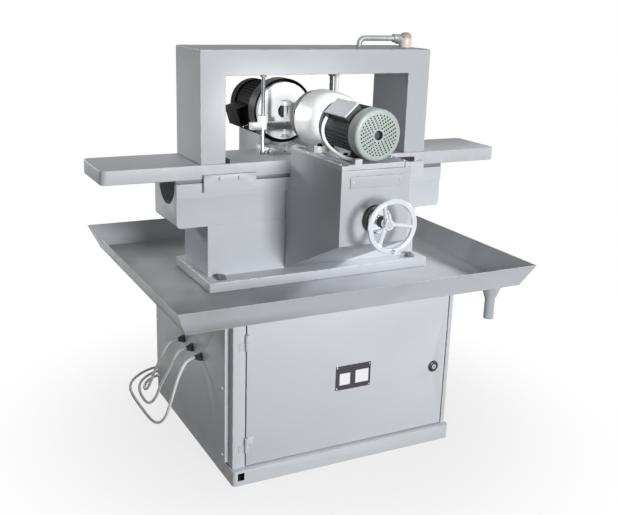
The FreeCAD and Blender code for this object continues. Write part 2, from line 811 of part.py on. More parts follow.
def make_table():
    low, top = table_levels()
    half = s.table_length / 2
    corners = [(-half, -s.table_front), (half, -s.table_front), (half, s.table_back), (-half, s.table_back)]
    node("work_table", prism("work_table", corners, s.table_height, (0, 0, low), "top", range(4),
                             s.table_corner))
    keepers = []
    for side in (-1, 1):
        centre = side * s.keeper_offset
        keepers.append(box("keeper", (centre - s.keeper_length / 2, -s.table_front - s.keeper_depth,
                                      low - s.keeper_drop),
                           (centre + s.keeper_length / 2, -s.table_front, low + s.keeper_lap)))
        for step in (-1, 1):
            spot = (centre + step * s.keeper_screw_pitch / 2, -s.table_front - s.keeper_depth, low + s.sheet)
            keepers.append(rod("keeper_screw", s.screw_radius, s.screw_head, spot, "-Y"))
    node("table_keepers", fuse("table_keepers", *keepers))
    inner = s.portal_span / 2
    stop_x = -inner + s.sheet
    left_stop = box("stop_left", (stop_x, -s.table_front, top),
                    (stop_x + s.stop_depth, -s.table_front + s.stop_length / 2, top + s.stop_height))
    right_stop = box("stop_right", (s.stop_x - s.stop_length / 2, -s.table_front - s.stop_depth,
                                    low + s.keeper_lap + s.sheet),
                     (s.stop_x + s.stop_length / 2, -s.table_front,
                      low + s.keeper_lap + s.sheet + s.stop_height))
    node("stop_blocks", group("stop_blocks", left_stop, right_stop))


def portal_levels():
    top = table_levels()[1]
    beam = top + s.portal_opening
    return top, beam, beam + s.portal_beam


def make_portal():
    foot, beam, top = portal_levels()
    inner = s.portal_span / 2
    outer = inner + s.portal_leg
    wall = s.portal_wall
    for side, label in ((-1, "portal_leg_left"), (1, "portal_leg_right")):
        x0, x1 = ordered(side * inner, side * outer)
        block = box(label + "_block", (x0, -s.table_front, foot), (x1, s.table_back, beam))
        bore = box(label + "_bore", (x0 + wall, -s.table_front + wall, foot - s.sheet),
                   (x1 - wall, s.table_back - wall, beam + s.sheet))
        node(label, cut(label, block, bore))
    block = box("beam_block", (-outer, -s.table_front, beam), (outer, s.table_back, top))
    bore = box("beam_bore", (-outer + wall, -s.table_front + wall, beam + wall),
               (outer - wall, s.table_back - wall, top - wall))
    node("portal_beam", cut("portal_beam", block, bore))


def make_water_feed():
    beam, top = portal_levels()[1:]
    y = (s.table_back - s.table_front) / 2
    axis = top + s.water_axis
    elbow_z = axis - s.water_bend
    rise = ring("water_rise", s.water_pipe, s.water_bore, elbow_z - top, (s.water_start, y, top))
    run_x = s.water_start + s.water_bend
    run = ring("water_run", s.water_pipe, s.water_bore, s.union_x - run_x, (run_x, y, axis), "X")
    bends = []
    for name, radius in (("water_bend_skin", s.water_pipe), ("water_bend_bore", s.water_bore)):
        bend = doc.addObject("Part::Torus", name)
        bind(bend, Radius1=s.water_bend, Radius2=radius, Angle3=90)
        bends.append(place(bend, (run_x, y, elbow_z), FreeCAD.Rotation(FreeCAD.Vector(0, 1, 1), 180)))
    union = ring("water_union", s.union_radius, s.water_bore, s.union_length, (s.union_x, y, axis), "X")
    node("water_pipe", fuse("water_pipe", rise, run, cut("water_elbow", *bends), union))
    tap_x = s.union_x + s.union_length + s.tap_radius
    body = rod("tap_barrel", s.tap_radius, s.tap_height, (tap_x, y, top))
    tap_mid = top + s.tap_height / 2
    tail = rod("tap_tail", s.tail_radius, s.tap_radius + s.tail_length, (tap_x, y, tap_mid), "Y")
    collar = rod("tap_collar", s.tail_collar, s.tap_radius + s.tail_collar_depth, (tap_x, y, tap_mid), "Y")
    bore = rod("tap_bore", s.tail_bore, s.tap_radius + s.tail_length + s.sheet, (tap_x, y, tap_mid), "Y")
    inlet = rod("tap_inlet_boss", s.tap_inlet, s.tap_radius, (tap_x - s.tap_radius, y, axis), "X")
    crown = box("tap_inlet_trim", (tap_x - 2 * s.tap_radius, y - s.tap_radius, top + s.tap_height),
                (tap_x + s.tap_radius, y + s.tap_radius, axis + 2 * s.tap_inlet))
    node("water_tap", cut("water_tap", fuse("tap_blank", body, tail, collar, inlet), bore, crown))
    knob_z = top + s.tap_height + s.slide_gap
    knob = [(0, 0), (s.knob_radius, 0), (s.knob_radius, s.knob_rim), (s.knob_crown, s.knob_shoulder),
            (s.knob_top, s.knob_height), (0, s.knob_height)]
    node("tap_knob", turned("tap_knob", knob, (tap_x, y, knob_z)))
    hose = ring("drop_hose", s.drop_radius, s.nozzle_radius, s.drop_length,
                (s.drop_x, 0, beam - s.drop_length))
    tip = [(s.nozzle_radius / 2, 0), (s.nozzle_flare, 0), (s.nozzle_flare, s.nozzle_length / 2),
           (s.nozzle_radius, s.nozzle_length), (s.nozzle_radius / 2, s.nozzle_length)]
    nozzle = turned("water_nozzle", tip, (s.drop_x, 0, beam - s.drop_length), "-Z")
    node("water_drop", fuse("water_drop", hose, nozzle))


def make_clamp():
    foot, beam = portal_levels()[:2]
    rods = []
    for x in (s.rod_left, s.rod_right):
        profile = [(0, 0), (s.rod_collar, 0), (s.rod_collar, s.rod_collar_height),
                   (s.rod_radius, s.rod_collar_height),
                   (s.rod_radius, s.portal_opening - s.rod_collar_height),
                   (s.rod_collar, s.portal_opening - s.rod_collar_height), (s.rod_collar, s.portal_opening),
                   (0, s.portal_opening)]
        rods.append(turned("clamp_rod", profile, (x, 0, foot)))
    node("clamp_rods", group("clamp_rods", *rods))
    low = s.arm_z
    high = s.arm_z + s.arm_height
    boss = rod("arm_boss_block", s.arm_boss, s.arm_height * 2, (s.rod_left, 0, low))
    arm_end = s.rod_left + s.arm_length
    bar = box("arm_bar", (s.rod_left - s.arm_back, -s.arm_depth / 2, low), (arm_end, s.arm_depth / 2, high))
    bore = rod("arm_bore", s.rod_radius + s.shaft_fit, s.arm_height * 3,
               (s.rod_left, 0, low - s.arm_height / 2))
    screw_x = arm_end - s.arm_depth / 2
    tap = rod("arm_tap", s.press_screw + s.shaft_fit, s.arm_height * 2, (screw_x, 0, low - s.arm_height / 2))
    node("clamp_arm", cut("clamp_arm", fuse("arm_blank", boss, bar), bore, tap))
    screw_low = high + s.press_screw_rise - s.press_screw_length
    shaft = rod("press_shaft", s.press_screw, s.press_screw_length, (screw_x, 0, screw_low))
    knob = rod("press_knob_disc", s.press_knob, s.press_knob_height, (screw_x, 0, high + s.press_screw_rise))
    pad = [(0, 0), (s.press_pad, 0), (s.press_pad, s.press_pad_rim), (s.press_screw, s.press_pad_height),
           (0, s.press_pad_height)]
    node("press_screw", fuse("press_screw", shaft, knob))
    node("press_pad", turned("press_pad", pad, (screw_x, 0, screw_low - s.press_pad_height - s.slide_gap)))
    x0 = screw_x - s.rest_length / 2
    y0 = s.rest_y - s.rest_depth / 2
    block = box("rest_block", (x0, y0, foot), (x0 + s.rest_length, y0 + s.rest_depth, foot + s.rest_height))
    top = foot + s.rest_height
    groove = prism("rest_vee", [(screw_x - s.vee_depth * 2, top + s.sheet), (screw_x, top - s.vee_depth),
                                (screw_x + s.vee_depth * 2, top + s.sheet)],
                   s.rest_depth + 2 * s.sheet, (0, y0 + s.rest_depth + s.sheet, 0), "front")
    node("vee_rest", cut("vee_rest", block, groove))


def make_bracket(label, side, attach, reach, clear, top, width):
    # a hollow shelf bracket on the bed's front (side -1) or back (side 1)
    slab_top = bed_levels()[0]
    wall = s.bracket_wall
    rise = s.bracket_face - slab_top
    outer = [(reach, s.bracket_face), (reach, top), (clear, top), (clear, s.bracket_shelf),
             (attach, s.bracket_shelf), (attach, slab_top)]
    slope = rise / (reach - attach) * wall
    inner = [(reach - wall, s.bracket_face + wall - slope), (reach - wall, top - wall),
             (clear + wall, top - wall), (clear + wall, s.bracket_shelf - wall),
             (attach + wall, s.bracket_shelf - wall), (attach + wall, slab_top + wall + slope)]
    half = width / 2
    blank = prism(label + "_blank", [(side * y, z) for y, z in outer], width, (-half, 0, 0), "side")
    hollow = prism(label + "_hollow", [(side * y, z) for y, z in inner], width - 2 * wall,
                   (-half + wall, 0, 0), "side")
    return blank, hollow


def make_front_bracket():
    wall = s.bracket_wall
    blank, hollow = make_bracket("front_bracket", -1, s.bed_front, s.front_reach, s.bracket_clear,
                                 s.bracket_top, s.bracket_width)
    room = s.slide_gap + s.sheet
    slot = box("nut_slot", (-s.arm_half - room, -s.nut_y - s.nut_length / 2 - s.feed_back_limit - room,
                            s.bracket_top - 2 * wall),
               (s.arm_half + room, -s.nut_y + s.nut_length / 2 + s.feed_limit + room, s.bracket_top + wall))
    bore = rod("bush_hole", s.bush_radius, 3 * wall, (0, -s.front_reach - wall, s.feed_z), "Y")
    gibs = []
    for side in (-1, 1):
        x0, x1 = ordered(side * (s.carriage_width / 2 + s.slide_gap), side * s.bracket_width / 2)
        gibs.append(box("gib", (x0, -s.front_reach, s.bracket_top),
                        (x1, -s.bracket_clear, s.bracket_top + s.gib_height)))
    node("slide_gibs", group("slide_gibs", *gibs))
    high = s.bracket_top - s.cover_plate_drop
    plate = box("face_plate", (-s.cover_plate_width / 2, -s.front_reach - s.cover_plate_depth,
                               high - s.cover_plate_height),
                (s.cover_plate_width / 2, -s.front_reach, high))
    node("front_bracket", fuse("front_bracket", cut("front_bracket_shell", blank, hollow, slot, bore), plate))


def make_rear_bracket():
    blank, hollow = make_bracket("rear_bracket", 1, s.bed_back, s.rear_reach, s.rear_clear, s.rear_top,
                                 s.rear_width)
    base = box("rear_motor_base", (-s.rear_width / 2, s.rear_clear, s.rear_top),
               (s.rear_width / 2, s.rear_reach, rear_seat()))
    node("rear_bracket", fuse("rear_bracket", cut("rear_bracket_shell", blank, hollow), base))


def rear_seat():
    return s.rear_top + s.rear_base


def motor_seat():
    return s.bracket_top + s.slide_gap + s.carriage_height


def make_carriage():
    low = s.bracket_top + s.slide_gap
    plate = box("carriage_plate", (-s.carriage_width / 2, -s.carriage_front, low),
                (s.carriage_width / 2, -s.carriage_back, motor_seat()))
    nut_y0 = -s.nut_y - s.nut_length / 2
    nut_y1 = -s.nut_y + s.nut_length / 2
    nut_top = s.feed_z + s.nut_half
    arm = box("carriage_arm", (-s.arm_half, nut_y0, nut_top), (s.arm_half, nut_y1, low + s.sheet))
    seat = motor_seat()
    hood = box("lead_hood", (-s.hood_x - s.hood_width / 2, -s.carriage_front, seat),
               (-s.hood_x + s.hood_width / 2, -s.carriage_front + s.hood_depth, seat + s.hood_height))
    lug_x = s.carriage_width / 2 - s.lug_inset
    lugs = [box("guard_lug", (x - s.lug_width / 2, -s.carriage_back - s.lug_depth, seat),
                (x + s.lug_width / 2, -s.carriage_back, seat + s.lug_height)) for x in (-lug_x, lug_x)]
    node("feed_carriage", fuse("feed_carriage", plate, arm, hood, *lugs))
    block = box("nut_block", (-s.nut_half, nut_y0, s.feed_z - s.nut_half), (s.nut_half, nut_y1, nut_top))
    bore = rod("nut_bore", s.feed_radius + s.shaft_fit, 2 * s.nut_length,
               (0, nut_y0 - s.nut_length / 2, s.feed_z), "Y")
    node("feed_nut", cut("feed_nut", block, bore))


def make_feed():
    face = -s.front_reach
    bush = [(s.feed_radius + s.shaft_fit, -s.flange_depth), (s.flange_radius, -s.flange_depth),
            (s.flange_radius, 0),
            (s.bush_radius, 0), (s.bush_radius, s.bracket_wall),
            (s.feed_radius + s.shaft_fit, s.bracket_wall)]
    node("screw_bearing", turned("screw_bearing", bush, (0, face, s.feed_z), "Y"))
    dial_y = face - s.flange_depth - s.dial_gap
    sleeve_y = dial_y - s.dial_depth
    hub_y = sleeve_y - s.sleeve_depth
    end_y = hub_y - s.wheel_hub_depth
    node("feed_screw", rod("feed_screw", s.feed_radius, -s.feed_tail - end_y, (0, end_y, s.feed_z), "Y"))
    collar = [(s.feed_radius, 0), (s.dial_radius, 0), (s.dial_radius, s.dial_depth),
              (s.sleeve_radius, s.dial_depth),
              (s.sleeve_radius, s.dial_depth + s.sleeve_depth),
              (s.feed_radius, s.dial_depth + s.sleeve_depth)]
    node("feed_dial", turned("feed_dial", collar, (0, dial_y, s.feed_z), "-Y"))
    rim_y = hub_y - s.wheel_dish
    rim = doc.addObject("Part::Torus", "wheel_rim_ring")
    bind(rim, Radius1=s.wheel_radius - s.wheel_rim, Radius2=s.wheel_rim)
    place(rim, (0, rim_y, s.feed_z), turns["-Y"])
    hub = ring("wheel_hub_ring", s.wheel_hub, s.feed_radius, s.wheel_hub_depth, (0, hub_y, s.feed_z), "-Y")
    spokes = []
    inner = s.wheel_hub - s.sheet
    outer = s.wheel_radius - s.wheel_rim
    root_y = hub_y - s.wheel_hub_depth / 2
    lean = math.atan2(outer.value - inner.value, root_y.value - rim_y.value)
    for index in range(3):
        turn = math.radians(90 + 120 * index + s.spoke_turn.value)
        spoke = doc.addObject("Part::Cylinder", "spoke")
        bind(spoke, Radius=s.spoke_radius)
        spoke.Height = math.hypot(outer.value - inner.value, root_y.value - rim_y.value)
        heading = FreeCAD.Vector(math.sin(lean) * math.cos(turn), -math.cos(lean),
                                 math.sin(lean) * math.sin(turn))
        aim = FreeCAD.Rotation(FreeCAD.Vector(0, 0, 1), heading)
        place(spoke, (inner * math.cos(turn), root_y, s.feed_z + inner * math.sin(turn)), aim)
        spokes.append(spoke)
    grip = rod("wheel_grip", s.grip_radius, s.wheel_rim + s.grip_length, (0, rim_y, s.feed_z - outer), "-Y")
    node("handwheel", fuse("handwheel", rim, hub, grip, *spokes))


def make_head(name, side, face, overhang, seat, height, motor, cover_radius, wheel):
    # one grinding head; its wheel's face is at face, and its motor lies on that side of it
    axis = "Y" if side > 0 else "-Y"
    z = seat + height
    shield = overhang
    body = shield + s.shield_depth
    cover = body + s.motor_length

    def along(offset):
        return side * (face + offset)

    bore = s.shaft_radius + s.shaft_fit
    frame = [(s.motor_bore, 0), (motor, 0), (motor, s.motor_length), (bore, s.motor_length),
             (bore, s.motor_length - s.motor_web), (s.motor_bore, s.motor_length - s.motor_web)]
    barrel = turned(name + "_barrel", frame, (0, along(body), z), axis)
    mid = body + s.motor_length / 2
    y0, y1 = ordered(along(mid - s.foot_length / 2), along(mid + s.foot_length / 2))
    pad = box(name + "_pad", (-s.foot_width / 2, y0, seat), (s.foot_width / 2, y1, seat + s.foot_height))
    stem = box(name + "_stem", (-s.foot_stem / 2, y0, seat), (s.foot_stem / 2, y1, z))
    clear = rod(name + "_clear", motor - s.sheet, s.motor_length + 2 * s.sheet, (0, along(body - s.sheet), z),
                axis)
    feet = cut(name + "_feet", fuse(name + "_foot", pad, stem), clear)
    drive_end = ring(name + "_end_shield", cover_radius, bore, s.shield_depth, (0, along(shield), z), axis)
    node(name + "_motor_frame", fuse(name + "_motor_frame", barrel, feet, drive_end))
    skin = s.cover_gauge
    cap = [(motor, 0), (cover_radius, 0), (cover_radius, s.cover_length), (s.cover_hole, s.cover_length),
           (s.cover_hole, s.cover_length - skin), (cover_radius - skin, s.cover_length - skin),
           (cover_radius - skin, skin), (motor, skin)]
    node(name + "_fan_cover", turned(name + "_fan_cover", cap, (0, along(cover), z), axis))
    fan_at = cover + s.cover_length / 2 - s.fan_depth / 2
    hub_back = s.ring_depth + s.hub_depth
    sleeve_back = hub_back + s.hub_sleeve_depth
    tail = fan_at + s.fan_depth
    rotor_at = body + (s.motor_length - s.motor_web - s.rotor_length) / 2
    nut_front = s.ring_depth - s.arbor_depth
    shaft = [(0, nut_front), (s.spigot_radius, nut_front), (s.spigot_radius, sleeve_back),
             (s.shaft_radius, sleeve_back), (s.shaft_radius, rotor_at), (s.rotor_radius, rotor_at),
             (s.rotor_radius, rotor_at + s.rotor_length), (s.shaft_radius, rotor_at + s.rotor_length),
             (s.shaft_radius, tail), (0, tail)]
    fan = ring(name + "_fan", s.fan_radius, s.shaft_radius, s.fan_depth, (0, along(fan_at), z), axis)
    rotor = turned(name + "_rotor", shaft, (0, along(as_size(0)), z), axis)
    node(name + "_spindle", fuse(name + "_spindle", rotor, fan))
    disc = wheel - s.hub_margin
    hub = [(s.spigot_radius, s.ring_depth), (disc, s.ring_depth), (disc, hub_back),
           (s.hub_sleeve, hub_back), (s.hub_sleeve, sleeve_back), (s.spigot_radius, sleeve_back)]
    flange = turned(name + "_flange", hub, (0, along(as_size(0)), z), axis)
    nut = ring(name + "_arbor_nut", s.arbor_radius, s.spigot_radius, s.arbor_depth, (0, along(nut_front), z),
               axis)
    node(name + "_wheel_hub", fuse(name + "_wheel_hub", flange, nut))
    node(name + "_abrasive", ring(name + "_abrasive", wheel, s.ring_bore, s.ring_depth,
                                  (0, along(as_size(0)), z), axis))
    return z, along, axis, shield


def make_terminal(name, turn_size, z, mid_y, motor, length, width, height):
    # a terminal box on the motor's left flank, leaning over by the named angle from upright
    lean = FreeCAD.Rotation(FreeCAD.Vector(0, 1, 0), -turn_size.value)
    y0 = mid_y - length / 2
    y1 = mid_y + length / 2
    half = width / 2
    top = motor + height
    block = box(name + "_terminal_block", (-half, y0, motor / 2), (half, y1, top))
    core = rod(name + "_terminal_seat", motor, 2 * length, (0, y0 - length / 2, 0), "Y")
    entry = rod(name + "_terminal_gland", s.terminal_gland, s.terminal_gland_length,
                (-half, mid_y + s.terminal_gland_shift, top - height / 2), "-X")
    lap = s.terminal_lap
    lid = box(name + "_terminal_cap", (-half - lap, y0 - lap, top),
              (half + lap, y1 + lap, top + s.terminal_lid))
    body = cut(name + "_terminal_body", block, core)
    shell = place(fuse(name + "_terminal_shell", body, entry), (0, 0, z), lean)
    return shell, place(group(name + "_terminal_lid", lid), (0, 0, z), lean)


def make_motor_lead(z, y):
    # from the gland under the terminal box, down past the motor's foot and into the hood on the carriage
    lean = math.radians(s.front_terminal_turn.value)
    reach = s.motor_radius.value + s.front_terminal_height.value / 2
    drop = s.front_terminal_width.value / 2 + s.terminal_gland_length.value
    start = (-math.sin(lean) * reach - math.cos(lean) * drop, y.value,
             z.value + math.cos(lean) * reach - math.sin(lean) * drop)
    clear = (start[0] - math.cos(lean) * motor_lead_lift, start[1],
             start[2] - math.sin(lean) * motor_lead_lift)
    end_y = s.hood_depth.value - s.carriage_front.value
    end = (-s.hood_x.value, end_y, motor_seat().value + s.hood_height.value / 2)
    node("motor_lead", cord("motor_lead", [start, clear] + motor_lead_route + [end], s.lead_radius.value))


def make_bell(shield, axis, place_at):
    # straight at the wheel, then rounding down to the motor's end shield
    wall = s.guard_gauge
    shoulder = s.guard_setback + s.guard_straight
    outside = []
    inside = []
    for index in range(bell_steps + 1):
        turn = math.radians(90 * index / bell_steps)
        spread = (s.guard_radius - s.cover_radius) * math.cos(turn)
        outside.append((s.cover_radius + spread, shoulder + (shield - wall - shoulder) * math.sin(turn)))
        inside.append((s.cover_radius - wall + spread,
                       shoulder + (shield - wall - shoulder) * math.sin(turn)))
    hole = s.cover_radius - s.guard_lip
    bell = [(s.guard_radius - wall, s.guard_setback), (s.guard_radius, s.guard_setback), *outside,
            (s.cover_radius, shield), (hole, shield), (hole, shield - wall), *reversed(inside)]
    node("front_guard", turned("front_guard", bell, place_at, axis))


def make_heads():
    z, along, axis, shield = make_head("front", -1, s.front_face, s.front_overhang, motor_seat(),
                                       s.motor_height, s.motor_radius, s.cover_radius, s.ring_radius)
    make_bell(shield, axis, (0, along(as_size(0)), z))
    mid_y = along(s.front_terminal_mid)
    shell, lid = make_terminal("front", s.front_terminal_turn, z, mid_y, s.motor_radius,
                               s.front_terminal_length, s.front_terminal_width, s.front_terminal_height)
    node("front_terminal_box", shell)
    node("front_terminal_lid", lid)
    make_motor_lead(z, mid_y + s.terminal_gland_shift)
    z, along, axis, shield = make_head("rear", 1, s.rear_face, s.rear_overhang, rear_seat(),
                                       s.rear_motor_height, s.rear_motor_radius, s.rear_cover_radius,
                                       s.rear_ring_radius)
    wall = s.guard_gauge
    rim = s.rear_guard_setback
    lip = s.rear_guard_radius - wall
    hole = s.rear_cover_radius - s.guard_lip
    pan = [(lip, rim), (s.rear_guard_radius, rim), (s.rear_guard_radius, shield), (hole, shield),
           (hole, shield - wall), (lip, shield - wall)]
    node("rear_guard", turned("rear_guard", pan, (0, along(as_size(0)), z), axis))
    shell, lid = make_terminal("rear", s.rear_terminal_turn, z, along(s.rear_terminal_mid),
                               s.rear_motor_radius, s.rear_terminal_length, s.rear_terminal_width,
                               s.rear_terminal_height)
    node("rear_terminal_box", fuse("rear_terminal_box", shell, lid))


make_plinth()
make_cabinet()
make_switchgear()
make_door()
make_leads()
make_tray()
make_bed()
make_front_bracket()
make_rear_bracket()
make_table()
make_portal()
make_water_feed()
make_clamp()
make_carriage()
make_feed()
make_heads()
doc.recompute()

for thing in doc.Objects:
    if "Invalid" in thing.State or "Error" in thing.State:
        raise RuntimeError(f"{thing.Name} did not compute: {thing.State}")
for thing in nodes:
    if thing.Shape.isNull() or not thing.Shape.isValid():
        raise RuntimeError(f"{thing.Label} has no valid shape")
os.makedirs("parts", exist_ok=True)
for thing in nodes:
    thing.Shape.exportStep(f"parts/{thing.Label}.step")
print(len(nodes), "nodes")
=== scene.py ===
import bmesh
import bpy
import json
import math

from mathutils import Matrix, Vector


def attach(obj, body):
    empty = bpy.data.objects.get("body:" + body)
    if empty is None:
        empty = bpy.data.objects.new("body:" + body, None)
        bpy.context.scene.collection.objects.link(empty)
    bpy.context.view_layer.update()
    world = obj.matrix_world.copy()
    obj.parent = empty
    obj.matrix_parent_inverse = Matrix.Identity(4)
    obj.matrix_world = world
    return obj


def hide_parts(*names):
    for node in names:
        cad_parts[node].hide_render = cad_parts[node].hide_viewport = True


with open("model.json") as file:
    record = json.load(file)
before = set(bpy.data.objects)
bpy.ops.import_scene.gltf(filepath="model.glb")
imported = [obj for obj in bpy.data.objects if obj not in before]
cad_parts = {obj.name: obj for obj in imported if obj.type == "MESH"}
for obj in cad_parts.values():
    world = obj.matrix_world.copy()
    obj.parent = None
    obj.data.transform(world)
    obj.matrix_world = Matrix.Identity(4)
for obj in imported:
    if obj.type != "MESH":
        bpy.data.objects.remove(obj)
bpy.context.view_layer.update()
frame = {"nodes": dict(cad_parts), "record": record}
scene = bpy.context.scene
scene.view_settings.view_transform = "Standard"
bodyOf = {n: b for b, members in frame["record"]["behaviour"]["bodies"].items() for n in members}
creaseAngle = math.radians(34)  # edges sharper than this stay crisp or are eased
print("frame loaded:", len(frame["nodes"]), "nodes")


def spot(x, y, z):  # millimetres in, metres out
    return Vector((x, y, z)) / 1000


def srgb(red, green, blue):
    def channel(value):
        value /= 255
        return value / 12.92 if value <= 0.04045 else ((value + 0.055) / 1.055) ** 2.4

    return [channel(red), channel(green), channel(blue), 1.0]


def shade(colour, factor):
    return [min(1.0, c * factor) for c in colour[:3]] + [1.0]


# how the noises in a finish are read: the detail, then the part of the range that counts
reading = {"cloud": (6, 0.32, 0.68), "stain": (9, 0.52, 0.72), "wear": (6, 0.5, 0.62), "silt": (7, 0.3, 0.7),
           "rough": (5, 0.32, 0.68), "roughCloud": 2.3, "grainDetail": 3, "siltLeast": 0.6, "coatRough": 0.2}


def finishOf(name, look):
    mat = bpy.data.materials.new(name)
    mat.use_nodes = True
    tree = mat.node_tree
    shader = tree.nodes["Principled BSDF"]
    plain = tree.nodes.new("ShaderNodeTexCoord").outputs["Object"]
    stretch = tree.nodes.new("ShaderNodeMapping")
    stretch.inputs["Scale"].default_value = look.get("stretch", (1, 1, 1))
    tree.links.new(plain, stretch.inputs["Vector"])
    drawn = stretch.outputs["Vector"]

    def noise(scale, detail, source):
        made = tree.nodes.new("ShaderNodeTexNoise")
        made.inputs["Scale"].default_value = scale
        made.inputs["Detail"].default_value = detail
        tree.links.new(source, made.inputs["Vector"])
        return made.outputs["Fac"]

    def ranged(source, start, end, low, high):
        made = tree.nodes.new("ShaderNodeMapRange")
        for socket, value in (("From Min", start), ("From Max", end), ("To Min", low), ("To Max", high)):
            made.inputs[socket].default_value = value
        tree.links.new(source, made.inputs["Value"])
        return made.outputs["Result"]

    def marks(kind, scale, low, high, source=plain):
        detail, start, end = reading[kind]
        return ranged(noise(scale, detail, source), start, end, low, high)

    def mixed(factor, tone, other):
        made = tree.nodes.new("ShaderNodeMix")
        made.data_type = "RGBA"
        tree.links.new(factor, made.inputs["Factor"])
        tree.links.new(tone, made.inputs["A"])
        made.inputs["B"].default_value = other
        return made.outputs["Result"]

    detail, dark, light = reading["cloud"]
    ramp = tree.nodes.new("ShaderNodeValToRGB")
    ramp.color_ramp.elements[0].position = dark
    ramp.color_ramp.elements[0].color = shade(look["colour"], 1 - look["mottle"])
    ramp.color_ramp.elements[1].position = light
    ramp.color_ramp.elements[1].color = shade(look["colour"], 1 + look["mottle"])
    tree.links.new(noise(look["cloud"], detail, plain), ramp.inputs["Fac"])
    tone = ramp.outputs["Color"]
    if "stain" in look:  # dried water marks and grit
        tone = mixed(marks("stain", look["stainScale"], 0.0, look["stainAmount"]), tone, look["stain"])
    if "wear" in look:  # rubbed patches
        tone = mixed(marks("wear", look["wearScale"], 0.0, look["wearAmount"]), tone, look["wear"])
    if "silt" in look:  # dirt left on the floor where the water stands, and painted shade on the floor's left part; both darkest to the left
        parts = tree.nodes.new("ShaderNodeSeparateXYZ")
        tree.links.new(plain, parts.inputs["Vector"])
        most = look["siltAmount"]
        amount = marks("silt", look["siltScale"], most * reading["siltLeast"], most)
        for axis, start, end in (("X", *look["siltAcross"]), ("Z", *look["siltLevel"])):
            both = tree.nodes.new("ShaderNodeMath")
            both.operation = "MULTIPLY"
            tree.links.new(amount, both.inputs[0])
            tree.links.new(ranged(parts.outputs[axis], start, end, 0.0, 1.0), both.inputs[1])
            amount = both.outputs["Value"]
        tone = mixed(amount, tone, look["silt"])
    tree.links.new(tone, shader.inputs["Base Color"])
    smooth = look["rough"] - look["roughSpread"]
    dull = look["rough"] + look["roughSpread"]
    rough = marks("rough", look["cloud"] * reading["roughCloud"], smooth, dull, drawn)
    tree.links.new(rough, shader.inputs["Roughness"])
    bump = tree.nodes.new("ShaderNodeBump")
    bump.inputs["Strength"].default_value = look["bump"]
    bump.inputs["Distance"].default_value = look["depth"] / 1000
    tree.links.new(noise(look["grain"], reading["grainDetail"], drawn), bump.inputs["Height"])
    tree.links.new(bump.outputs["Normal"], shader.inputs["Normal"])
    shader.inputs["Metallic"].default_value = look.get("metal", 0.0)
    shader.inputs["Specular IOR Level"].default_value = look.get("shine", 0.5)
    shader.inputs["Coat Weight"].default_value = look.get("coat", 0.0)
    shader.inputs["Coat Roughness"].default_value = reading["coatRough"]
    return mat


def paintLook(colour, **changes):  # sprayed enamel with a slight orange peel
    look = {"colour": colour, "mottle": 0.015, "cloud": 4, "rough": 0.42, "roughSpread": 0.05, "grain": 420,
            "bump": 0.06, "depth": 0.15, "coat": 0.08}
    return {**look, **changes}


def rubbedLook(colour, bare, scale, amount):  # enamel on an edge, rubbed through in patches
    return paintLook(colour, wear=bare, wearScale=scale, wearAmount=amount)


def castLook(colour):  # enamel over a cast skin
    return paintLook(colour, grain=110, bump=0.1, depth=0.35, mottle=0.02)


def motorLook(colour, grain, shine):  # thick matt enamel on a finned casting
    return paintLook(colour, grain=grain, bump=0.2, depth=0.3, rough=0.55, coat=0.0, shine=shine)


def metalLook(colour, **changes):
    look = {"colour": colour, "mottle": 0.05, "cloud": 30, "rough": 0.28, "roughSpread": 0.07, "grain": 60,
            "bump": 0.08, "depth": 0.1, "metal": 1.0}
    return {**look, **changes}


def plasticLook(colour, **changes):
    look = {"colour": colour, "mottle": 0.05, "cloud": 24, "rough": 0.45, "roughSpread": 0.06, "grain": 900,
            "bump": 0.12, "depth": 0.15}
    return {**look, **changes}


def gritLook(colour, mottle, bump, depth):  # bonded abrasive
    return plasticLook(colour, mottle=mottle, cloud=420, rough=0.85, grain=650, bump=bump, depth=depth)


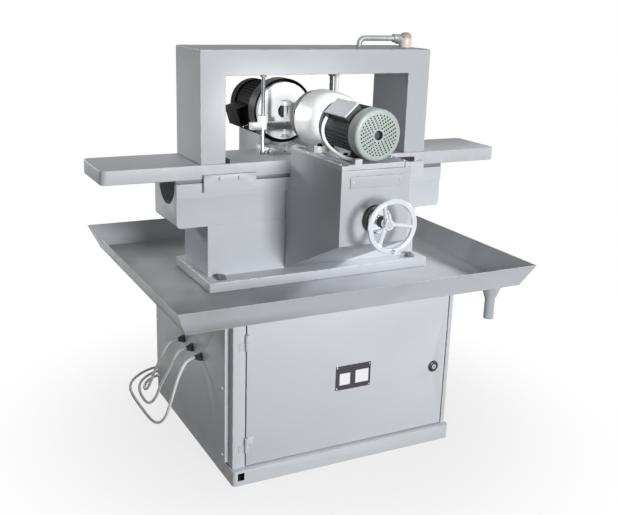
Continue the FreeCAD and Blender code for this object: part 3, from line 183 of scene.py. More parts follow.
finishes = {
    "sheetPaint": paintLook(srgb(193, 197, 202)),
    "sheetPaintEdge": rubbedLook(srgb(198, 202, 206), srgb(140, 142, 146), 45, 0.55),
    # the tray floor's silt mask also paints in shade on its left part
    "trayPaint": paintLook(
        srgb(176, 179, 184), roughSpread=0.1, stain=srgb(120, 120, 119), stainScale=5.5, stainAmount=0.22,
        silt=srgb(112, 113, 115), siltScale=7, siltAmount=0.6, siltAcross=(0.05, -0.42),
        siltLevel=(0.6, 0.57)),
    "trayPaintEdge": rubbedLook(srgb(192, 195, 199), srgb(128, 128, 128), 40, 0.6),
    "castPaint": castLook(srgb(190, 194, 199)),
    "castPaintEdge": rubbedLook(srgb(196, 200, 204), srgb(136, 138, 141), 40, 0.6),
    # portal and brackets: the machine's grey enamel made darker, as painted shade
    "portalPaintShaded": paintLook(srgb(180, 184, 189), rough=0.55, coat=0.0),
    "portalPaintShadedEdge": rubbedLook(srgb(188, 192, 196), srgb(136, 138, 141), 45, 0.55),
    "bracketPaintShaded": castLook(srgb(176, 180, 185)),
    "bracketPaintShadedEdge": rubbedLook(srgb(186, 190, 194), srgb(132, 134, 137), 40, 0.6),
    "groundTable": metalLook(
        srgb(190, 193, 198), metal=0.0, stretch=(1, 45, 1), rough=0.5, grain=30, mottle=0.03, bump=0.04),
    "turnedSteel": metalLook(srgb(198, 199, 202), stretch=(4, 60, 4)),
    "darkSteel": metalLook(srgb(84, 87, 92), stretch=(4, 60, 4), rough=0.42),
    "rodSteel": metalLook(srgb(172, 174, 177), stretch=(2, 2, 80), rough=0.22),
    "polishedSteel": metalLook(srgb(176, 174, 176), stretch=(3, 90, 3), rough=0.2),
    # steel darkened as painted shade on the guide rails, which sit in a dark gap; the slab bolts share it
    "shadedDullSteel": metalLook(srgb(120, 123, 127), metal=0.5, rough=0.5),
    # dark grey as painted shade, on the sheet below the rear wheel
    "shadeDarkSheet": paintLook(srgb(112, 114, 118)),
    # pale metal for the press screw, motor feet and carriage lugs, and the painted highlight on the clamp
    # arm's top
    "paleMetalAndHighlight": metalLook(srgb(222, 222, 228), metal=0.25, rough=0.42),
    "spunAluminium": metalLook(
        srgb(251, 252, 253), metal=0.35, stretch=(3, 160, 3), rough=0.3, roughSpread=0.06, mottle=0.02,
        bump=0.03),
    "galvanised": metalLook(srgb(170, 174, 178), metal=0.5, rough=0.5),
    "chrome": metalLook(srgb(230, 234, 240), rough=0.12, roughSpread=0.04, mottle=0.02, bump=0.02),
    "bronze": metalLook(srgb(180, 142, 92), stretch=(4, 60, 4), rough=0.34),
    "motorDark": motorLook(srgb(58, 60, 62), 260, 0.35),
    # near-black: painted shade on the rear motor, seen against the light, and the front foot bolts' own black
    "motorBlackAndShade": motorLook(srgb(19, 19, 21), 240, 0.04),
    "glossBlack": paintLook(srgb(24, 21, 23), rough=0.4, coat=0.0, shine=0.12),
    "fanGreen": paintLook(srgb(167, 176, 172), rough=0.38),
    "blackPlastic": plasticLook(srgb(25, 25, 27)),
    "greyPlastic": plasticLook(srgb(78, 78, 77), rough=0.55),
    "tanPlastic": plasticLook(srgb(196, 170, 140), rough=0.4),
    "beigePlastic": plasticLook(srgb(228, 222, 210), rough=0.34, coat=0.25),
    "blackRubber": plasticLook(srgb(30, 30, 31), rough=0.75, grain=500, bump=0.3),
    "whiteSheath": plasticLook(srgb(240, 240, 237), rough=0.42, mottle=0.03),
    "paleGrit": gritLook(srgb(250, 251, 253), 0.03, 0.5, 0.4),
    "darkGrit": gritLook(srgb(128, 127, 130), 0.14, 0.7, 0.5),
    "plateEnamel": plasticLook(srgb(58, 52, 62), rough=0.35, grain=300, bump=0.05),
    "plateField": plasticLook(srgb(234, 233, 238), rough=0.4, grain=300, bump=0.05, mottle=0.02),
    # near-black for painted shade in the plinth's notch and the key slot, and for the dial's printed marks
    "shadeAndPrintBlack": plasticLook(srgb(12, 12, 13), rough=0.8),
}
finish = {name: finishOf(name, look) for name, look in finishes.items()}
print("finishes made:", len(finish))


def turnMm(bm, profile, centre, axis, steps=64, closed=False):  # profile of (radius, along)
    along = Vector(axis).normalized()
    side = Vector((0, 0, 1)) if abs(along.z) < 0.9 else Vector((1, 0, 0))
    up = along.cross(side)
    angles = [2 * math.pi * (i + 0.5) / steps for i in range(steps)]
    rings = []
    for radius, offset in profile:
        hub = spot(*centre) + along * (offset / 1000)
        if radius < 1e-4:  # a point on the axis
            rings.append([bm.verts.new(hub)])
            continue
        wide = radius / 1000
        rings.append([bm.verts.new(hub + (side * math.cos(a) + up * math.sin(a)) * wide) for a in angles])
    following = rings[1:] + rings[:1] if closed else rings[1:]
    for low, high in zip(rings, following):
        for i in range(steps):
            j = i + 1
            corners = [low[i % len(low)], low[j % len(low)], high[j % len(high)], high[i % len(high)]]
            corners = list(dict.fromkeys(corners))
            if len(corners) > 2:
                bm.faces.new(corners)


def block(bm, low, high, matrix=None):
    corners = [(x, y, z) for z in (low[2], high[2]) for y in (low[1], high[1]) for x in (low[0], high[0])]
    verts = [bm.verts.new(spot(*c)) for c in corners]
    for face in ((0, 1, 3, 2), (4, 6, 7, 5), (0, 4, 5, 1), (2, 3, 7, 6), (0, 2, 6, 4), (1, 5, 7, 3)):
        bm.faces.new([verts[i] for i in face])
    if matrix:
        bmesh.ops.transform(bm, matrix=matrix, verts=verts)


def prismMm(bm, outline, low, high, matrix):  # outline of (x, y) raised along z, then put in place
    rings = [[bm.verts.new(matrix @ spot(x, y, z)) for x, y in outline] for z in (low, high)]
    bm.faces.new(rings[0][::-1])
    bm.faces.new(rings[1])
    count = len(outline)
    for i in range(count):
        j = (i + 1) % count
        bm.faces.new([rings[0][i], rings[0][j], rings[1][j], rings[1][i]])


def facing(centre, axis):  # local z along axis, at centre
    return Matrix.Translation(spot(*centre)) @ Vector(axis).to_track_quat("Z", "Y").to_matrix().to_4x4()


def around(count, start=0.0):  # angles evenly round a circle
    return [start + 2 * math.pi * i / count for i in range(count)]


def hexBolt(bm, at, axis, across, height):  # hexagon with its crown cut, on a washer
    corner = across / math.sqrt(3)
    rim = corner * 1.25
    washer = height * 0.22
    seat = height * 0.2
    crown = [(corner, height * 0.88), (corner * 0.88, height), (0, height)]
    turnMm(bm, [(0, 0), (rim, 0), (rim, washer), (0, washer)], at, axis, 32)
    turnMm(bm, [(0, seat), (corner, seat)] + crown, at, axis, 6)


def slotScrew(bm, at, axis, radius, height, angle):  # two half rounds on a rim, with the slot between
    rim = height * 0.45
    sunk = height * 0.44
    turnMm(bm, [(0, 0), (radius, 0), (radius, rim), (0, rim)], at, axis, 32)
    outer = radius * 0.97
    gap = math.asin(0.13)
    sweep = [gap + (math.pi - 2 * gap) * i / 14 for i in range(15)]
    halfRound = [(outer * math.cos(a), outer * math.sin(a)) for a in sweep]
    for turnBy in (0, math.pi):
        matrix = facing(at, axis) @ Matrix.Rotation(angle + turnBy, 4, "Z")
        prismMm(bm, halfRound, sunk, height, matrix)


def panScrew(bm, at, axis, radius, height):  # domed head with a recess
    sweep = [math.pi / 2 * i / 5 for i in range(5)]
    dome = [(radius * math.cos(a), height * (0.25 + 0.75 * math.sin(a))) for a in sweep]
    hole = radius * 0.3
    recess = [(hole, height), (hole, height * 0.5), (0, height * 0.5)]
    turnMm(bm, [(0, 0), (radius, 0)] + dome + recess, at, axis, 24)


def putPiece(name, bm, look, body, replaced=(), soften=0.0, segments=3, accent=None):
    bmesh.ops.recalc_face_normals(bm, faces=bm.faces)
    mesh = bpy.data.meshes.new(name)
    bm.to_mesh(mesh)
    bm.free()
    mesh.materials.append(finish[look])
    mesh.polygons.foreach_set("use_smooth", [True] * len(mesh.polygons))
    if accent:  # a second finish on the faces that the test picks
        mesh.materials.append(finish[accent[0]])
        for face in mesh.polygons:
            face.material_index = int(accent[1](face.center * 1000))
    piece = bpy.data.objects.new(name, mesh)
    scene.collection.objects.link(piece)
    if soften:
        edges = piece.modifiers.new("edges", "BEVEL")
        edges.width = soften / 1000
        edges.segments = segments
        edges.limit_method = "ANGLE"
        edges.angle_limit = creaseAngle
        edges.use_clamp_overlap = True
        edges.harden_normals = True
        if look + "Edge" in finish:  # paint rubs off the eased edges first
            mesh.materials.append(finish[look + "Edge"])
            edges.material = len(mesh.materials) - 1
    else:
        mesh.set_sharp_from_angle(angle=creaseAngle)
    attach(piece, body)
    if replaced:
        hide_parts(*replaced)
    return piece


# a copy of the CAD node with eased edges, or of its solids on one side of the middle
def dressNode(node, name, look, soften, segments=3, side=0, accent=None):
    bm = bmesh.new()
    bm.from_mesh(frame["nodes"][node].data)
    if side:
        bmesh.ops.delete(bm, geom=[v for v in bm.verts if v.co.x * side < 0], context="VERTS")
    bmesh.ops.remove_doubles(bm, verts=bm.verts, dist=1e-5)
    bmesh.ops.dissolve_limit(bm, angle_limit=math.radians(1.0), verts=bm.verts, edges=bm.edges)
    putPiece(name, bm, look, bodyOf[node], [node], soften, segments, accent)


def coatNode(node, look):  # the CAD node as it is, in a proper finish
    data = frame["nodes"][node].data
    data.materials.clear()
    data.materials.append(finish[look])


# camera at the photograph's viewpoint
view = {"place": (-1.3147, -2.6121, 1.4678), "yaw": 27.39, "pitch": 16.69, "roll": 1.78, "lens": 51.27,
        "sensor": 36}


def setCamera():
    yaw, pitch, roll = (math.radians(view[k]) for k in ("yaw", "pitch", "roll"))
    ahead = Vector((math.sin(yaw) * math.cos(pitch), math.cos(yaw) * math.cos(pitch), -math.sin(pitch)))
    right = Vector((math.cos(yaw), -math.sin(yaw), 0))
    up = right.cross(ahead)
    tiltRight = math.cos(roll) * right + math.sin(roll) * up
    tiltUp = -math.sin(roll) * right + math.cos(roll) * up
    data = bpy.data.cameras.new("viewCamera")
    data.lens = view["lens"]
    data.sensor_width = view["sensor"]
    camera = bpy.data.objects.new("viewCamera", data)
    turned = Matrix((tiltRight, tiltUp, -ahead)).transposed().to_4x4()
    camera.matrix_world = Matrix.Translation(view["place"]) @ turned
    scene.collection.objects.link(camera)
    scene.camera = camera


# lamps: place and aim in metres, power in watts, cone in degrees; gleam is whether it shows in gloss
studio = {
    "areas": {
        "keyLamp": {"place": (0.35, -4.8, 1.75), "aim": (0, 0, 0.7),
                    "power": 205, "size": 1.3, "gleam": True},
        "backLamp": {"place": (0.9, 4.9, 1.1), "aim": (0, 0, 0.7),
                     "power": 80, "size": 1.3, "gleam": False}},
    "spots": {
        "sideLamp": {"place": (-1.8, 2.6, 1.6), "aim": (-0.45, 0, 0.85),
                     "power": 215, "size": 0.3, "cone": 26},
        "discLamp": {"place": (-1.6, -2.4, 1.55), "aim": (-0.05, 0.15, 1.08),
                     "power": 340, "size": 0.08, "cone": 6},
        "bellLamp": {"place": (-0.9, -1.9, 2.6), "aim": (-0.03, -0.23, 1.1),
                     "power": 330, "size": 0.12, "cone": 8},
        "trayLamp": {"place": (2.6, -0.25, 1.6), "aim": (0.25, -0.4, 0.57),
                     "power": 370, "size": 0.2, "cone": 24}},
    "ambient": 0.09, "ambientTint": (0.96, 0.98, 1.0, 1), "floorSize": 24, "floorTone": 0.3,
    "floorFade": {"From Min": 0.4, "From Max": 1.2, "To Min": 0.8, "To Max": 1.0}}


def addLamp(name, kind, lamp):
    data = bpy.data.lights.new(name, kind)
    data.energy = lamp["power"]
    made = bpy.data.objects.new(name, data)
    made.location = lamp["place"]
    made.rotation_euler = (Vector(lamp["aim"]) - Vector(lamp["place"])).to_track_quat("-Z", "Y").to_euler()
    scene.collection.objects.link(made)
    return made


def setLamps():
    for name, lamp in studio["areas"].items():
        panel = addLamp(name, "AREA", lamp)
        panel.data.shape = "DISK"
        panel.data.size = lamp["size"]
        panel.visible_glossy = lamp["gleam"]
    for name, lamp in studio["spots"].items():
        beam = addLamp(name, "SPOT", lamp)
        beam.data.spot_size = math.radians(lamp["cone"])
        beam.data.spot_blend = 1.0
        beam.data.shadow_soft_size = lamp["size"]


def seenRays(tree):  # 1 for camera, mirror and see-through rays
    path = tree.nodes.new("ShaderNodeLightPath")
    total = path.outputs["Is Camera Ray"]
    for output in ("Is Glossy Ray", "Is Transmission Ray"):
        either = tree.nodes.new("ShaderNodeMath")
        either.operation = "MAXIMUM"
        tree.links.new(total, either.inputs[0])
        tree.links.new(path.outputs[output], either.inputs[1])
        total = either.outputs["Value"]
    return total


def choose(tree, factor, first, second, output):  # from the first shader to the second
    blend = tree.nodes.new("ShaderNodeMixShader")
    tree.links.new(factor, blend.inputs["Fac"])
    tree.links.new(first, blend.inputs[1])
    tree.links.new(second, blend.inputs[2])
    tree.links.new(blend.outputs["Shader"], tree.nodes[output].inputs["Surface"])


def setWorld():  # a dim sky that lights, seen as white
    world = bpy.data.worlds.new("paleStudio")
    scene.world = world
    world.use_nodes = True
    tree = world.node_tree
    ambient = tree.nodes["Background"]
    ambient.inputs["Color"].default_value = studio["ambientTint"]
    ambient.inputs["Strength"].default_value = studio["ambient"]
    white = tree.nodes.new("ShaderNodeBackground")
    white.inputs["Color"].default_value = (1, 1, 1, 1)
    choose(tree, seenRays(tree), ambient.outputs["Background"], white.outputs["Background"], "World Output")


def setFloor():  # matte, and seen as white further out, so that the shadow stays near the machine
    mesh = bpy.data.meshes.new("paleFloor")
    half = studio["floorSize"] / 2
    corners = [(-half, -half, 0), (half, -half, 0), (half, half, 0), (-half, half, 0)]
    mesh.from_pydata(corners, [], [(0, 1, 2, 3)])
    floor = bpy.data.objects.new("paleFloor", mesh)
    scene.collection.objects.link(floor)
    mat = bpy.data.materials.new("paleFloor")
    mat.use_nodes = True
    tree = mat.node_tree
    tree.nodes.remove(tree.nodes["Principled BSDF"])
    matte = tree.nodes.new("ShaderNodeBsdfDiffuse")
    tone = studio["floorTone"]
    matte.inputs["Color"].default_value = (tone, tone, tone, 1)
    glow = tree.nodes.new("ShaderNodeEmission")
    coords = tree.nodes.new("ShaderNodeTexCoord")
    reach = tree.nodes.new("ShaderNodeVectorMath")
    reach.operation = "LENGTH"
    tree.links.new(coords.outputs["Object"], reach.inputs[0])
    fade = tree.nodes.new("ShaderNodeMapRange")
    fade.interpolation_type = "SMOOTHSTEP"
    for socket, value in studio["floorFade"].items():
        fade.inputs[socket].default_value = value
    tree.links.new(reach.outputs["Value"], fade.inputs["Value"])
    both = tree.nodes.new("ShaderNodeMath")
    both.operation = "MULTIPLY"
    tree.links.new(fade.outputs["Result"], both.inputs[0])
    tree.links.new(seenRays(tree), both.inputs[1])
    choose(tree, both.outputs["Value"], matte.outputs["BSDF"], glow.outputs["Emission"], "Material Output")
    mesh.materials.append(mat)


setCamera()
setLamps()
setWorld()
setFloor()
print("camera, lamps and floor set")

# leads: control points in millimetres, near the CAD tubes and as the photograph has them
leads = {
    "radius": 5.0, "glandTip": -431.0, "glandHeight": 338.0, "coverFace": -409.0, "tail": 46.0,
    "front": {"y": -127, "length": 1.018, "route": [
        (-457, -127, 337), (-485, -125, 285), (-497, -113, 229), (-503, -84, 164),
        (-503, -45, 110), (-502, 0, 69), (-502, 52, 36), (-502, 110, 14), (-502, 172, 6), (-503, 236, 5),
        (-504, 300, 5), (-503, 364, 5), (-496, 427, 5), (-472, 486, 5), (-426, 532, 8), (-366, 554, 16)]},
    "middle": {"y": -43, "length": 0.848, "route": [
        (-457, -43, 337), (-482, -41, 286), (-499, -24, 238), (-504, 6, 200), (-502, 34, 170),
        (-498, 68, 137), (-494, 112, 100), (-489, 160, 66), (-484, 212, 36), (-480, 268, 15), (-476, 327, 6),
        (-470, 386, 5), (-454, 444, 5), (-420, 494, 6), (-368, 516, 16)]},
    "back": {"y": 41, "length": 0.706, "route": [
        (-460, 41, 337), (-485, 43, 292), (-496, 60, 250), (-499, 86, 217), (-497, 116, 188),
        (-491, 156, 153), (-484, 200, 118), (-476, 248, 83), (-467, 300, 50), (-458, 354, 24), (-446, 407, 9),
        (-422, 454, 8), (-376, 478, 16)]},
}
motorLead = {"length": 0.215, "route": [
    (-80.43, -310, 1117.54), (-95.3, -314, 1099), (-101, -326, 1066), (-95, -350, 1040), (-83, -378, 1024.4),
    (-75, -405, 1015), (-65, -433, 1012.3), (-60, -456, 1012.5)]}


def layLead(name, route, body, node):
    curve = bpy.data.curves.new(name, "CURVE")
    curve.dimensions = "3D"
    spline = curve.splines.new("NURBS")
    spline.points.add(len(route) - 1)
    for point, place in zip(spline.points, route):
        point.co = (*spot(*place), 1)
    spline.order_u = 3
    spline.use_endpoint_u = True
    spline.resolution_u = 12
    curve.bevel_depth = leads["radius"] / 1000
    curve.bevel_resolution = 5
    curve.use_fill_caps = True
    curve.materials.append(finish["whiteSheath"])
    lead = bpy.data.objects.new(name, curve)
    scene.collection.objects.link(lead)
    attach(lead, body)
    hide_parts(node)
    return lead


connector = {"radius": 16.0, "length": 70.0, "nose": [(0, 0), (6.5, 0), (8, 1.5)], "shoulder": (14.5, 21),
             "ribs": 5, "ribRadius": 8.2, "ribGrowth": 0.8, "ribPitch": 3.2, "groove": 1.4, "mouth": 6.0,
             "wall": 4.0}


def makeConnector(side, end):  # ribbed cable grip, grooved body, open mouth
    c = connector
    wide = c["radius"]
    deep = c["length"]
    profile = list(c["nose"])
    for i in range(c["ribs"]):
        rib = c["ribRadius"] + i * c["ribGrowth"]
        start = i * c["ribPitch"]
        profile += [(rib, start + 3), (rib, start + 4.8), (rib - 1, start + 5.1)]
    inner = wide - c["groove"]
    bore = wide - c["wall"]
    profile += [c["shoulder"], (wide, 23), (wide, 45), (inner, 46), (inner, 49), (wide, 50), (wide, deep - 2),
                (wide - 2, deep), (bore, deep), (bore, deep - c["mouth"]), (0, deep - c["mouth"])]
    bm = bmesh.new()
    turnMm(bm, profile, end, (1, 0, 0), 40)
    return putPiece("leadConnector." + side, bm, "blackPlastic", "base", ["lead_connectors"])


# gland profiles: washer, six-sided body, clamping cap; each with its count of sides
gland = (
    (40, [(5, 0), (14, 0), (14, 1.6), (5, 1.6)]),
    (6, [(5, 1.6), (13.6, 1.6), (13.6, 7), (12.6, 8), (5, 8)]),
    (32, [(5, 8), (11.2, 8), (11.2, 12.5), (10.4, 14), (8.4, 15), (8.2, 21), (7.4, 22), (5, 22)]))


def makeLeads():
    glands = bmesh.new()
    for side in ("front", "middle", "back"):
        values = leads[side]
        start = (leads["glandTip"], values["y"], leads["glandHeight"])
        last = values["route"][-1]
        end = (last[0] + leads["tail"], last[1], last[2])
        lead = layLead("supplyLead." + side, [start] + values["route"] + [end], "base", "supply_lead_" + side)
        plug = makeConnector(side, end)
        at = (leads["coverFace"], values["y"], leads["glandHeight"])
        for sides, profile in gland:
            turnMm(glands, profile, at, (-1, 0, 0), sides, True)
    putPiece("leadGlands", glands, "greyPlastic", "base", ["cable_glands"])
    lead = layLead("motorLead", motorLead["route"], "front_head", "motor_lead")


makeLeads()
print("leads laid")

# cabinet, door, tray
cabinet = {"sheetEdge": 1.0, "plinthEdge": 2.5, "coverEdge": 2.0, "screwRadius": 5.0, "screwHeight": 2.6,
           "coverFace": -409.0, "screwHeights": (82, 307, 532), "screwRows": (-313, 331),
           "notchLow": (-394, -357, 5), "notchHigh": (-352, -354, 45), "notchEdge": 0.5}


def makeCabinet():
    c = cabinet
    dressNode("cabinet_shell", "cabinetShell", "sheetPaint", c["sheetEdge"])
    dressNode("base_plinth", "plinth", "sheetPaint", c["plinthEdge"])
    dressNode("side_cover", "sideCover", "sheetPaint", c["coverEdge"])
    bm = bmesh.new()
    block(bm, c["notchLow"], c["notchHigh"])  # painted shade: a black block that keeps the plinth's notch dark
    putPiece("notchPaintedShade", bm, "shadeAndPrintBlack", "base", soften=c["notchEdge"], segments=2)
    bm = bmesh.new()
    for z in c["screwHeights"]:
        for y in c["screwRows"]:
            panScrew(bm, (c["coverFace"], y, z), (-1, 0, 0), c["screwRadius"], c["screwHeight"])
    putPiece("sideCoverScrews", bm, "turnedSteel", "base")


gear = {"edge": 1.5, "relays": (-85, 0, 85), "front": -319.0, "terminals": (308.0, 372.0),
        "poles": (-16, 0, 16), "screwRadius": 3.4, "screwHeight": 2.0}


def makeSwitchgear():
    dressNode("switchgear", "switchgear", "blackPlastic", gear["edge"])
    bm = bmesh.new()
    for y in gear["relays"]:
        for z in gear["terminals"]:
            for pole in gear["poles"]:
                at = (gear["front"], y + pole, z)
                panScrew(bm, at, (1, 0, 0), gear["screwRadius"], gear["screwHeight"])
    putPiece("switchgearScrews", bm, "turnedSteel", "base")


door = {"edge": 1.4, "hingeEdge": 0.5, "plugEdge": 0.4, "lock": (332, -361, 272), "bezelDepth": 6.0,
        "bezel": [(8.1, 34), (8.1, 0.4), (9, 0), (13, 0), (14.2, 0.9), (16, 1.6), (18.6, 3.2), (20, 6),
                  (12, 6), (12, 34)],
        "slotHalf": 0.9, "slotReach": 4.2, "slotProud": 0.25, "slotSunk": 0.2, "keyHole": 2.1,
        "plate": (-43, 85, 249.5, 332.5), "plateDepth": 1.5, "plateEdge": 0.5,
        "fields": ((14, 52, 17, -26), (72, 120, 17, -22)), "fieldProud": 0.35, "fieldSunk": 0.1,
        "fieldEdge": 0.15, "rivetInset": 5.0, "rivetRadius": 2.6, "rivetHeight": 1.4}


def makeLock():
    x, y, z = door["lock"]
    front = y - door["bezelDepth"]
    bm = bmesh.new()
    turnMm(bm, door["bezel"], (x, front, z), (0, 1, 0), 56, True)
    putPiece("lockBody", bm, "blackPlastic", "door", ["lock_body"])
    dressNode("lock_cam", "lockPlug", "turnedSteel", door["plugEdge"], 2)
    half = door["slotHalf"]
    reach = door["slotReach"]
    proud = front - door["slotProud"]
    hole = door["keyHole"]
    deep = door["slotProud"] + door["slotSunk"]
    bm = bmesh.new()
    # painted shade: the key slot and keyhole are black solids standing for the dark opening
    block(bm, (x - half, proud, z - reach), (x + half, front + door["slotSunk"], z + reach))
    turnMm(bm, [(0, 0), (hole, 0), (hole, deep), (0, deep)], (x, proud, z), (0, 1, 0), 20)
    putPiece("keySlot", bm, "shadeAndPrintBlack", "lock")


def makePlate():  # a bare plate with two empty fields
    back = door["lock"][1]
    face = back - door["plateDepth"]
    x0, x1, z0, z1 = door["plate"]
    bm = bmesh.new()
    block(bm, (x0, face, z0), (x1, back, z1))
    putPiece("blankPlate", bm, "plateEnamel", "door", ["blank_plate"], door["plateEdge"])
    bm = bmesh.new()
    for left, right, low, high in door["fields"]:
        block(bm, (x0 + left, face - door["fieldProud"], z0 + low),
              (x0 + right, face + door["fieldSunk"], z1 + high))
    putPiece("plateFields", bm, "plateField", "door",
             soften=door["fieldEdge"], segments=2)
    bm = bmesh.new()
    inset = door["rivetInset"]
    for px in (x0 + inset, x1 - inset):
        for pz in (z0 + inset, z1 - inset):
            panScrew(bm, (px, face, pz), (0, -1, 0), door["rivetRadius"], door["rivetHeight"])
    putPiece("plateRivets", bm, "turnedSteel", "door")


def makeDoor():
    dressNode("door_panel", "doorPanel", "sheetPaint", door["edge"])
    dressNode("post_hinges", "postHinges", "sheetPaint", door["hingeEdge"], 2)
    dressNode("door_hinges", "doorHinges", "sheetPaint", door["hingeEdge"], 2)
    makeLock()
    makePlate()


tray = {"edge": 1.1, "funnelEdge": 0.9}


def makeTray():
    dressNode("drip_tray", "dripTray", "trayPaint", tray["edge"])
    dressNode("drain_funnel", "drainFunnel", "trayPaint", tray["funnelEdge"])


makeCabinet()
makeSwitchgear()
makeDoor()
makeTray()
print("cabinet, door and tray dressed")

# bed, brackets, table
bed = {"slabEdge": 3.0, "castEdge": 3.0, "bracketEdge": 2.0, "railEdge": 0.6, "gibEdge": 1.0,
       "slabTop": 600.0, "boltAcross": 24.0, "boltHeight": 13.0,
       "boltSpots": ((-350, -150), (350, -150), (-350, 121), (350, 121)),
       "gibTop": 1003, "gibRows": (-105.5, 105.5), "gibScrews": (-450, -380, -240, -170),
       "gibScrewRadius": 5.5, "gibScrewHeight": 2.4,
       "plateFace": -480, "plateHeight": 954, "plateScrews": (-78, 78),
       "plateScrewRadius": 4.2, "plateScrewHeight": 1.8}


def makeBed():
    dressNode("base_slab", "baseSlab", "castPaint", bed["slabEdge"])
    dressNode("bed_casting", "bedCasting", "castPaint", bed["castEdge"])
    # the brackets in the darker enamel: painted shade
    dressNode("front_bracket", "frontBracket", "bracketPaintShaded", bed["bracketEdge"])
    dressNode("rear_bracket", "rearBracket", "bracketPaintShaded", bed["bracketEdge"])
    # the guide rails darkened as painted shade of the gap they sit in
    dressNode("guide_rails", "guideRails", "shadedDullSteel", bed["railEdge"], 2)
    dressNode("slide_gibs", "slideGibs", "castPaint", bed["gibEdge"], 2)
    bm = bmesh.new()
    for x, y in bed["boltSpots"]:
        hexBolt(bm, (x, y, bed["slabTop"]), (0, 0, 1), bed["boltAcross"], bed["boltHeight"])
    putPiece("slabBolts", bm, "shadedDullSteel", "base")
    bm = bmesh.new()
    for y in bed["gibScrews"]:  # each slot points its own way
        for x in bed["gibRows"]:
            slotScrew(bm, (x, y, bed["gibTop"]), (0, 0, 1), bed["gibScrewRadius"], bed["gibScrewHeight"], y)
    putPiece("gibScrews", bm, "turnedSteel", "base")
    bm = bmesh.new()
    for x in bed["plateScrews"]:
        at = (x, bed["plateFace"], bed["plateHeight"])
        slotScrew(bm, at, (0, -1, 0), bed["plateScrewRadius"], bed["plateScrewHeight"], x)
    putPiece("facePlateScrews", bm, "turnedSteel", "base")


table = {"edge": 2.5, "keeperEdge": 1.0, "stopEdge": 1.5}


def makeTable():
    dressNode("work_table", "workTable", "groundTable", table["edge"])
    dressNode("table_keepers", "tableKeepers", "sheetPaint", table["keeperEdge"], 2)
    dressNode("stop_blocks", "stopBlocks", "blackRubber", table["stopEdge"])


portal = {"edge": 2.5, "halfWide": 404.0, "halfInner": 323.0, "foot": 958.0, "beam": 1223.0, "top": 1300.0,
          "front": -118.0, "back": 104.0}


def makePortal():  # legs and beam in one skin
    wide = portal["halfWide"]
    inner = portal["halfInner"]
    foot = portal["foot"]
    top = portal["top"]
    beam = portal["beam"]
    outline = [(-wide, foot), (-wide, top), (wide, top), (wide, foot), (inner, foot), (inner, beam),
               (-inner, beam), (-inner, foot)]
    bm = bmesh.new()
    upright = Matrix.Rotation(math.pi / 2, 4, "X")
    prismMm(bm, outline, -portal["back"], -portal["front"], upright)
    # the portal in the darker enamel: painted shade
    putPiece("portal", bm, "portalPaintShaded", "table",
             ["portal_leg_left", "portal_leg_right", "portal_beam"], portal["edge"])


water = {"pipeEdge": 0.5, "tapEdge": 0.8, "tapAxis": (374.5, -7, 1330.3),
         "knob": [(0, 0), (18.2, 0), (19, 0.8), (19, 7.6), (15.6, 14.4), (8, 18), (0, 18)],
         "flutes": 14, "fluteCircle": 18.2, "flute": [(0, 0.4), (1.7, 0.6), (1.7, 7.2), (0.9, 8.6), (0, 8.8)]}


def makeWater():
    dressNode("water_pipe", "waterPipe", "galvanised", water["pipeEdge"], 2)
    dressNode("water_tap", "waterTap", "beigePlastic", water["tapEdge"])
    dressNode("water_drop", "waterDrop", "whiteSheath", water["pipeEdge"], 2)
    bm = bmesh.new()
    turnMm(bm, water["knob"], water["tapAxis"], (0, 0, 1))
    x, y, z = water["tapAxis"]
    out = water["fluteCircle"]
    for angle in around(water["flutes"]):
        at = (x + out * math.cos(angle), y + out * math.sin(angle), z)
        turnMm(bm, water["flute"], at, (0, 0, 1), 10)
    putPiece("tapKnob", bm, "tanPlastic", "tap", ["tap_knob"])


clamp = {"armEdge": 1.2, "rodEdge": 0.6, "padEdge": 0.6, "restEdge": 0.8, "armTop": 1062.0,
         "screwAxis": (-68, 0), "screwLow": 1022.0, "screwHigh": 1114.0, "tipRadius": 5.3, "neckRadius": 6.0,
         "threadPitch": 2.5, "threadRoot": 5.2, "threadCrest": 5.95,
         "knobRadius": 17.0, "knobHigh": 1130.0, "knurls": 16, "knurlRadius": 1.1, "knurlSunk": 0.5}


def makeClamp():
    dressNode("clamp_rods", "clampRod.left", "rodSteel", clamp["rodEdge"], 2, side=-1)
    dressNode("clamp_rods", "clampRod.right", "darkSteel", clamp["rodEdge"], 2, side=1)
    # painted highlight: the arm's top faces take the pale finish, lighter than its sides
    dressNode("clamp_arm", "clampArm", "turnedSteel", clamp["armEdge"],
              accent=("paleMetalAndHighlight", lambda at: at.z > clamp["armTop"] - 1))
    dressNode("press_pad", "pressPad", "turnedSteel", clamp["padEdge"], 2)
    dressNode("vee_rest", "veeRest", "turnedSteel", clamp["restEdge"], 2)


def makePressScrew():  # threaded rod with a knurled knob
    c = clamp
    x, y = c["screwAxis"]
    low = c["screwLow"]
    deep = c["screwHigh"] - low
    tall = c["knobHigh"] - low
    wide = c["knobRadius"]
    neck = c["neckRadius"]
    root = c["threadRoot"]
    crest = c["threadCrest"]
    profile = [(0, 0), (c["tipRadius"], 0)]
    for i in range(int(deep / c["threadPitch"])):
        start = i * c["threadPitch"]
        profile += [(root, start + 0.3), (crest, start + 1.1), (crest, start + 1.5), (root, start + 2.3)]
    profile += [(neck, deep - 0.2), (neck, deep), (wide - 2, deep), (wide, deep + 2), (wide, tall - 3),
                (wide - 3, tall), (0, tall)]
    bm = bmesh.new()
    turnMm(bm, profile, (x, y, low), (0, 0, 1), 40)
    fine = c["knurlRadius"]
    knurl = [(0, deep + 2.2), (fine, deep + 2.4), (fine, tall - 3.4), (0, tall - 3.2)]
    out = wide - c["knurlSunk"]
    for angle in around(c["knurls"]):
        turnMm(bm, knurl, (x + out * math.cos(angle), y + out * math.sin(angle), low), (0, 0, 1), 8)
    putPiece("pressScrew", bm, "paleMetalAndHighlight", "press", ["press_screw"])


makeBed()
makeTable()
makePortal()
makeWater()
makeClamp()
makePressScrew()
print("bed, table and portal dressed")

